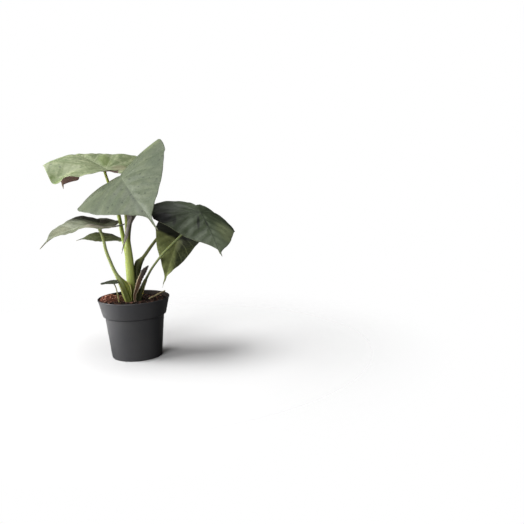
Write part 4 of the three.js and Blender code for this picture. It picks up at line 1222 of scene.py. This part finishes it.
class ELEPHANT_EAR_OT_chips(bpy.types.Operator):
    """Scatter coir chips and fibres over the soil, rust red and heaped at the left."""

    bl_idname = "elephant_ear.chips"
    bl_label = "Chips and fibres"

    def execute(self, context):
        sizes = context.scene.elephant_ear_sizes
        dice = random.Random(11)
        bm = bmesh.new()
        tint = bm.verts.layers.float_vector.new("tint")
        made = 0
        while made < sizes.chips:
            length = sizes.chip_length / MM * dice.uniform(0.35, 1.0)
            spread = (SOIL_INNER - 0.55 * length) * math.sqrt(dice.random())
            angle = dice.uniform(-math.pi, math.pi)
            x, y = spread * math.cos(angle), spread * math.sin(angle)
            if not clear_of_stalks(x, y, 0.4 * length):
                continue
            made += 1
            heap = heap_at(x, y)
            level = soil_height(x, y) + dice.uniform(-0.6, 0.9) + 2.2 * heap * dice.random()
            self.chip(bm, tint, dice, (x, y, level), length * (1 - 0.4 * heap), heap)
        for _ in range(sizes.fibres):
            self.fibre(bm, tint, dice)
        make_piece("coir_chips", bm, [chip_material()])
        return {"FINISHED"}

    def chip(self, bm, tint, dice, place, length, heap):
        """One flat splinter: a stretched ball of eighty faces, squared off and knocked about."""
        made = bmesh.ops.create_icosphere(bm, subdivisions=2, radius=0.5)["verts"]
        width, thickness = length * dice.uniform(0.3, 0.6), length * dice.uniform(0.14, 0.3)
        shape = Matrix.Diagonal((length, width, thickness, 1))
        tumble = Matrix.Rotation(dice.uniform(0, math.tau), 4, "Z")
        tumble = tumble @ Matrix.Rotation(dice.gauss(0, 0.4), 4, "X")
        knocks = Vector((dice.random(), dice.random(), dice.random())) * 50
        redness = min(1, max(1.3 * heap + dice.uniform(-0.15, 0.1), 0.45 * (dice.random() < 0.12)))
        shade = (redness, dice.random(), 0)
        flat = 0.36
        for vertex in made:
            squared = Vector([max(-flat, min(flat, c)) for c in vertex.co])
            knocked = squared * (1 + 0.5 * noise.noise(vertex.co * 3 + knocks))
            vertex.co = (tumble @ shape @ knocked + Vector(place)) * MM
            vertex[tint] = shade

    def fibre(self, bm, tint, dice):
        """One loose coir fibre: a long thin spindle, bent over the soil."""
        radius, farthest = 0.28, 46
        angle, spread = dice.uniform(-math.pi, math.pi), farthest * math.sqrt(dice.random())
        heading, length = dice.uniform(0, math.tau), dice.uniform(6, 15)
        bend = dice.uniform(-0.12, 0.12)
        centre = Vector((spread * math.cos(angle), spread * math.sin(angle), 0))
        if not clear_of_stalks(centre.x, centre.y, 3):
            return
        shade = (dice.uniform(0, 0.7), dice.uniform(0.5, 1), 0)
        for vertex in bmesh.ops.create_uvsphere(bm, u_segments=5, v_segments=10, radius=1)["verts"]:
            run = vertex.co.z * length / 2
            way = heading + bend * run
            x = centre.x + run * math.cos(way) + radius * vertex.co.x * -math.sin(way)
            y = centre.y + run * math.sin(way) + radius * vertex.co.x * math.cos(way)
            arch = 1.4 * (1 - vertex.co.z**2)
            reach = min(1, (SOIL_INNER - 1.5) / max(1, math.hypot(x, y)))
            x, y = x * reach, y * reach
            vertex.co = Vector((x, y, soil_height(x, y) + 0.6 + arch + radius * vertex.co.y)) * MM
            vertex[tint] = shade


# Stage

def aim(thing, place, target):
    """Stands a light or camera at place and turns it to look at target."""
    thing.location = place
    thing.rotation_euler = (Vector(target) - Vector(place)).to_track_quat("-Z", "Y").to_euler()


class ELEPHANT_EAR_OT_stage(bpy.types.Operator):
    """Set up the pale floor, the soft studio light and the camera."""

    bl_idname = "elephant_ear.stage"
    bl_label = "Stage"

    def execute(self, context):
        self.floor()
        self.surround(context.scene)
        # Place, aim and size in metres, and watts
        middle = (0, 0, 0.18)
        self.softbox("left_softbox", (-1.25, -0.1, 0.55), middle, (1.2, 1.1), 26)
        self.softbox("front_softbox", (-0.45, -1.45, 0.75), middle, (0.9, 0.9), 14)
        self.softbox("ceiling_softbox", (-0.2, 0.1, 1.8), middle, (1.3, 1.1), 18)
        self.camera(context.scene)
        context.scene.view_settings.view_transform = "Standard"
        context.scene.view_settings.look = "None"
        return {"FINISHED"}

    def floor(self):
        """A round pale floor, painted matt, that fades into the white surround. The camera sees it
        pale all over, and it throws less light on the plant from the right."""
        radius = 2.5
        material, tree, shader = start_material("floor_matt_paint", Roughness=0.9, Specular_IOR_Level=0.1)
        seen = add(tree, "ShaderNodeLightPath")
        place = add(tree, "ShaderNodeTexCoord").outputs["Object"]
        parts = add(tree, "ShaderNodeSeparateXYZ", inputs={0: place})
        grey = lay_over(
            tree, solid("606060"), solid("f4f4f4"), parts.outputs["X"], (-0.05, -0.2), (0, 1))
        paint = add(tree, "ShaderNodeMix", RGBA,
                    {MIX_FACTOR: seen.outputs["Is Camera Ray"], MIX_A: grey, MIX_B: solid("f4f4f4")})
        tree.links.new(paint.outputs[MIX_RESULT], shader.inputs["Base Color"])
        off = add(tree, "ShaderNodeVectorMath", {"operation": "LENGTH"}, {0: place})
        fade = add(tree, "ShaderNodeMapRange", SMOOTH,
                   {"Value": off.outputs["Value"], 1: 0.1, 2: 0.55})
        clear = add(tree, "ShaderNodeBsdfTransparent")
        both = add(tree, "ShaderNodeMixShader",
                   inputs={0: fade.outputs[0], 1: shader.outputs[0], 2: clear.outputs[0]})
        output = next(n for n in tree.nodes if n.type == "OUTPUT_MATERIAL")
        tree.links.new(both.outputs[0], output.inputs["Surface"])
        bm = bmesh.new()
        bmesh.ops.create_circle(bm, cap_ends=True, segments=64, radius=radius)
        bmesh.ops.translate(bm, verts=bm.verts, vec=(0, 0, -0.1 * MM))
        floor = make_object("floor", bm)
        floor.data.materials.append(material)

    def surround(self, scene):
        """White where the camera looks past the floor, and for the plant a dim glow that fades to
        the right."""
        world = bpy.data.worlds.new("white_surround")
        world.use_nodes = True
        tree = world.node_tree
        tree.nodes.clear()
        ray = add(tree, "ShaderNodeLightPath")
        way = add(tree, "ShaderNodeTexCoord")
        parts = add(tree, "ShaderNodeSeparateXYZ", inputs={0: way.outputs["Generated"]})
        from_left = add(tree, "ShaderNodeMapRange", SMOOTH,
                        {"Value": parts.outputs["X"], 1: 0.4, 2: -0.9, 3: 0.03, 4: 0.35})
        glow = add(tree, "ShaderNodeBackground",
                   inputs={"Color": solid("ffffff"), "Strength": from_left.outputs[0]})
        seen = add(tree, "ShaderNodeBackground", inputs={"Color": solid("ffffff"), "Strength": 1.0})
        both = add(tree, "ShaderNodeMixShader",
                   inputs={0: ray.outputs["Is Camera Ray"], 1: glow.outputs[0], 2: seen.outputs[0]})
        add(tree, "ShaderNodeOutputWorld", inputs={"Surface": both.outputs[0]})
        scene.world = world

    def softbox(self, name, place, target, size, watts):
        light = bpy.data.lights.new(name, "AREA")
        light.shape = "RECTANGLE"
        light.size, light.size_y = size
        light.energy = watts
        holder = bpy.data.objects.new(name, light)
        bpy.context.scene.collection.objects.link(holder)
        holder.visible_camera = False
        aim(holder, place, target)

    def camera(self, scene):
        """The camera looks a little down at the plant and leans a little, as the photographer did."""
        forward = Vector((0, math.cos(CAMERA_PITCH), -math.sin(CAMERA_PITCH)))
        level = Vector((1, 0, 0))
        upright = level.cross(forward)
        right = level * math.cos(CAMERA_LEAN) - upright * math.sin(CAMERA_LEAN)
        up = level * math.sin(CAMERA_LEAN) + upright * math.cos(CAMERA_LEAN)
        data = bpy.data.cameras.new("camera")
        data.lens = CAMERA_LENS
        camera = bpy.data.objects.new("camera", data)
        scene.collection.objects.link(camera)
        turned = Matrix((right, up, -forward)).transposed()
        camera.matrix_world = Matrix.Translation(CAMERA_PLACE) @ turned.to_4x4()
        scene.camera = camera


OPERATORS = (
    ELEPHANT_EAR_OT_pot, ELEPHANT_EAR_OT_soil, ELEPHANT_EAR_OT_chips, ELEPHANT_EAR_OT_stalks,
    ELEPHANT_EAR_OT_leaves, ELEPHANT_EAR_OT_bract, ELEPHANT_EAR_OT_dry_stalk, ELEPHANT_EAR_OT_stage,
)


class ELEPHANT_EAR_PT_panel(bpy.types.Panel):
    """Lists the pieces of the plant with their sizes and colours."""

    bl_label = "Elephant Ear"
    bl_idname = "ELEPHANT_EAR_PT_panel"
    bl_space_type = "VIEW_3D"
    bl_region_type = "UI"
    bl_category = "Elephant Ear"

    def draw(self, context):
        for operator in OPERATORS:
            self.layout.operator(operator.bl_idname)
        for group in (context.scene.elephant_ear_sizes, context.scene.elephant_ear_colours):
            for name in group.bl_rna.properties.keys():
                if name not in ("rna_type", "name"):
                    self.layout.prop(group, name)


CLASSES = (ElephantEarSizes, ElephantEarColours, *OPERATORS, ELEPHANT_EAR_PT_panel)


def register():
    for cls in CLASSES:
        bpy.utils.register_class(cls)
    bpy.types.Scene.elephant_ear_sizes = bpy.props.PointerProperty(type=ElephantEarSizes)
    bpy.types.Scene.elephant_ear_colours = bpy.props.PointerProperty(type=ElephantEarColours)


def unregister():
    del bpy.types.Scene.elephant_ear_colours
    del bpy.types.Scene.elephant_ear_sizes
    for cls in reversed(CLASSES):
        bpy.utils.unregister_class(cls)


def main():
    register()
    bpy.ops.elephant_ear.pot()
    bpy.ops.elephant_ear.soil()
    bpy.ops.elephant_ear.chips()
    bpy.ops.elephant_ear.stalks()
    bpy.ops.elephant_ear.leaves()
    bpy.ops.elephant_ear.bract()
    bpy.ops.elephant_ear.dry_stalk()
    bpy.ops.elephant_ear.stage()
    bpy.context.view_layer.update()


if __name__ == "__main__":
    main()
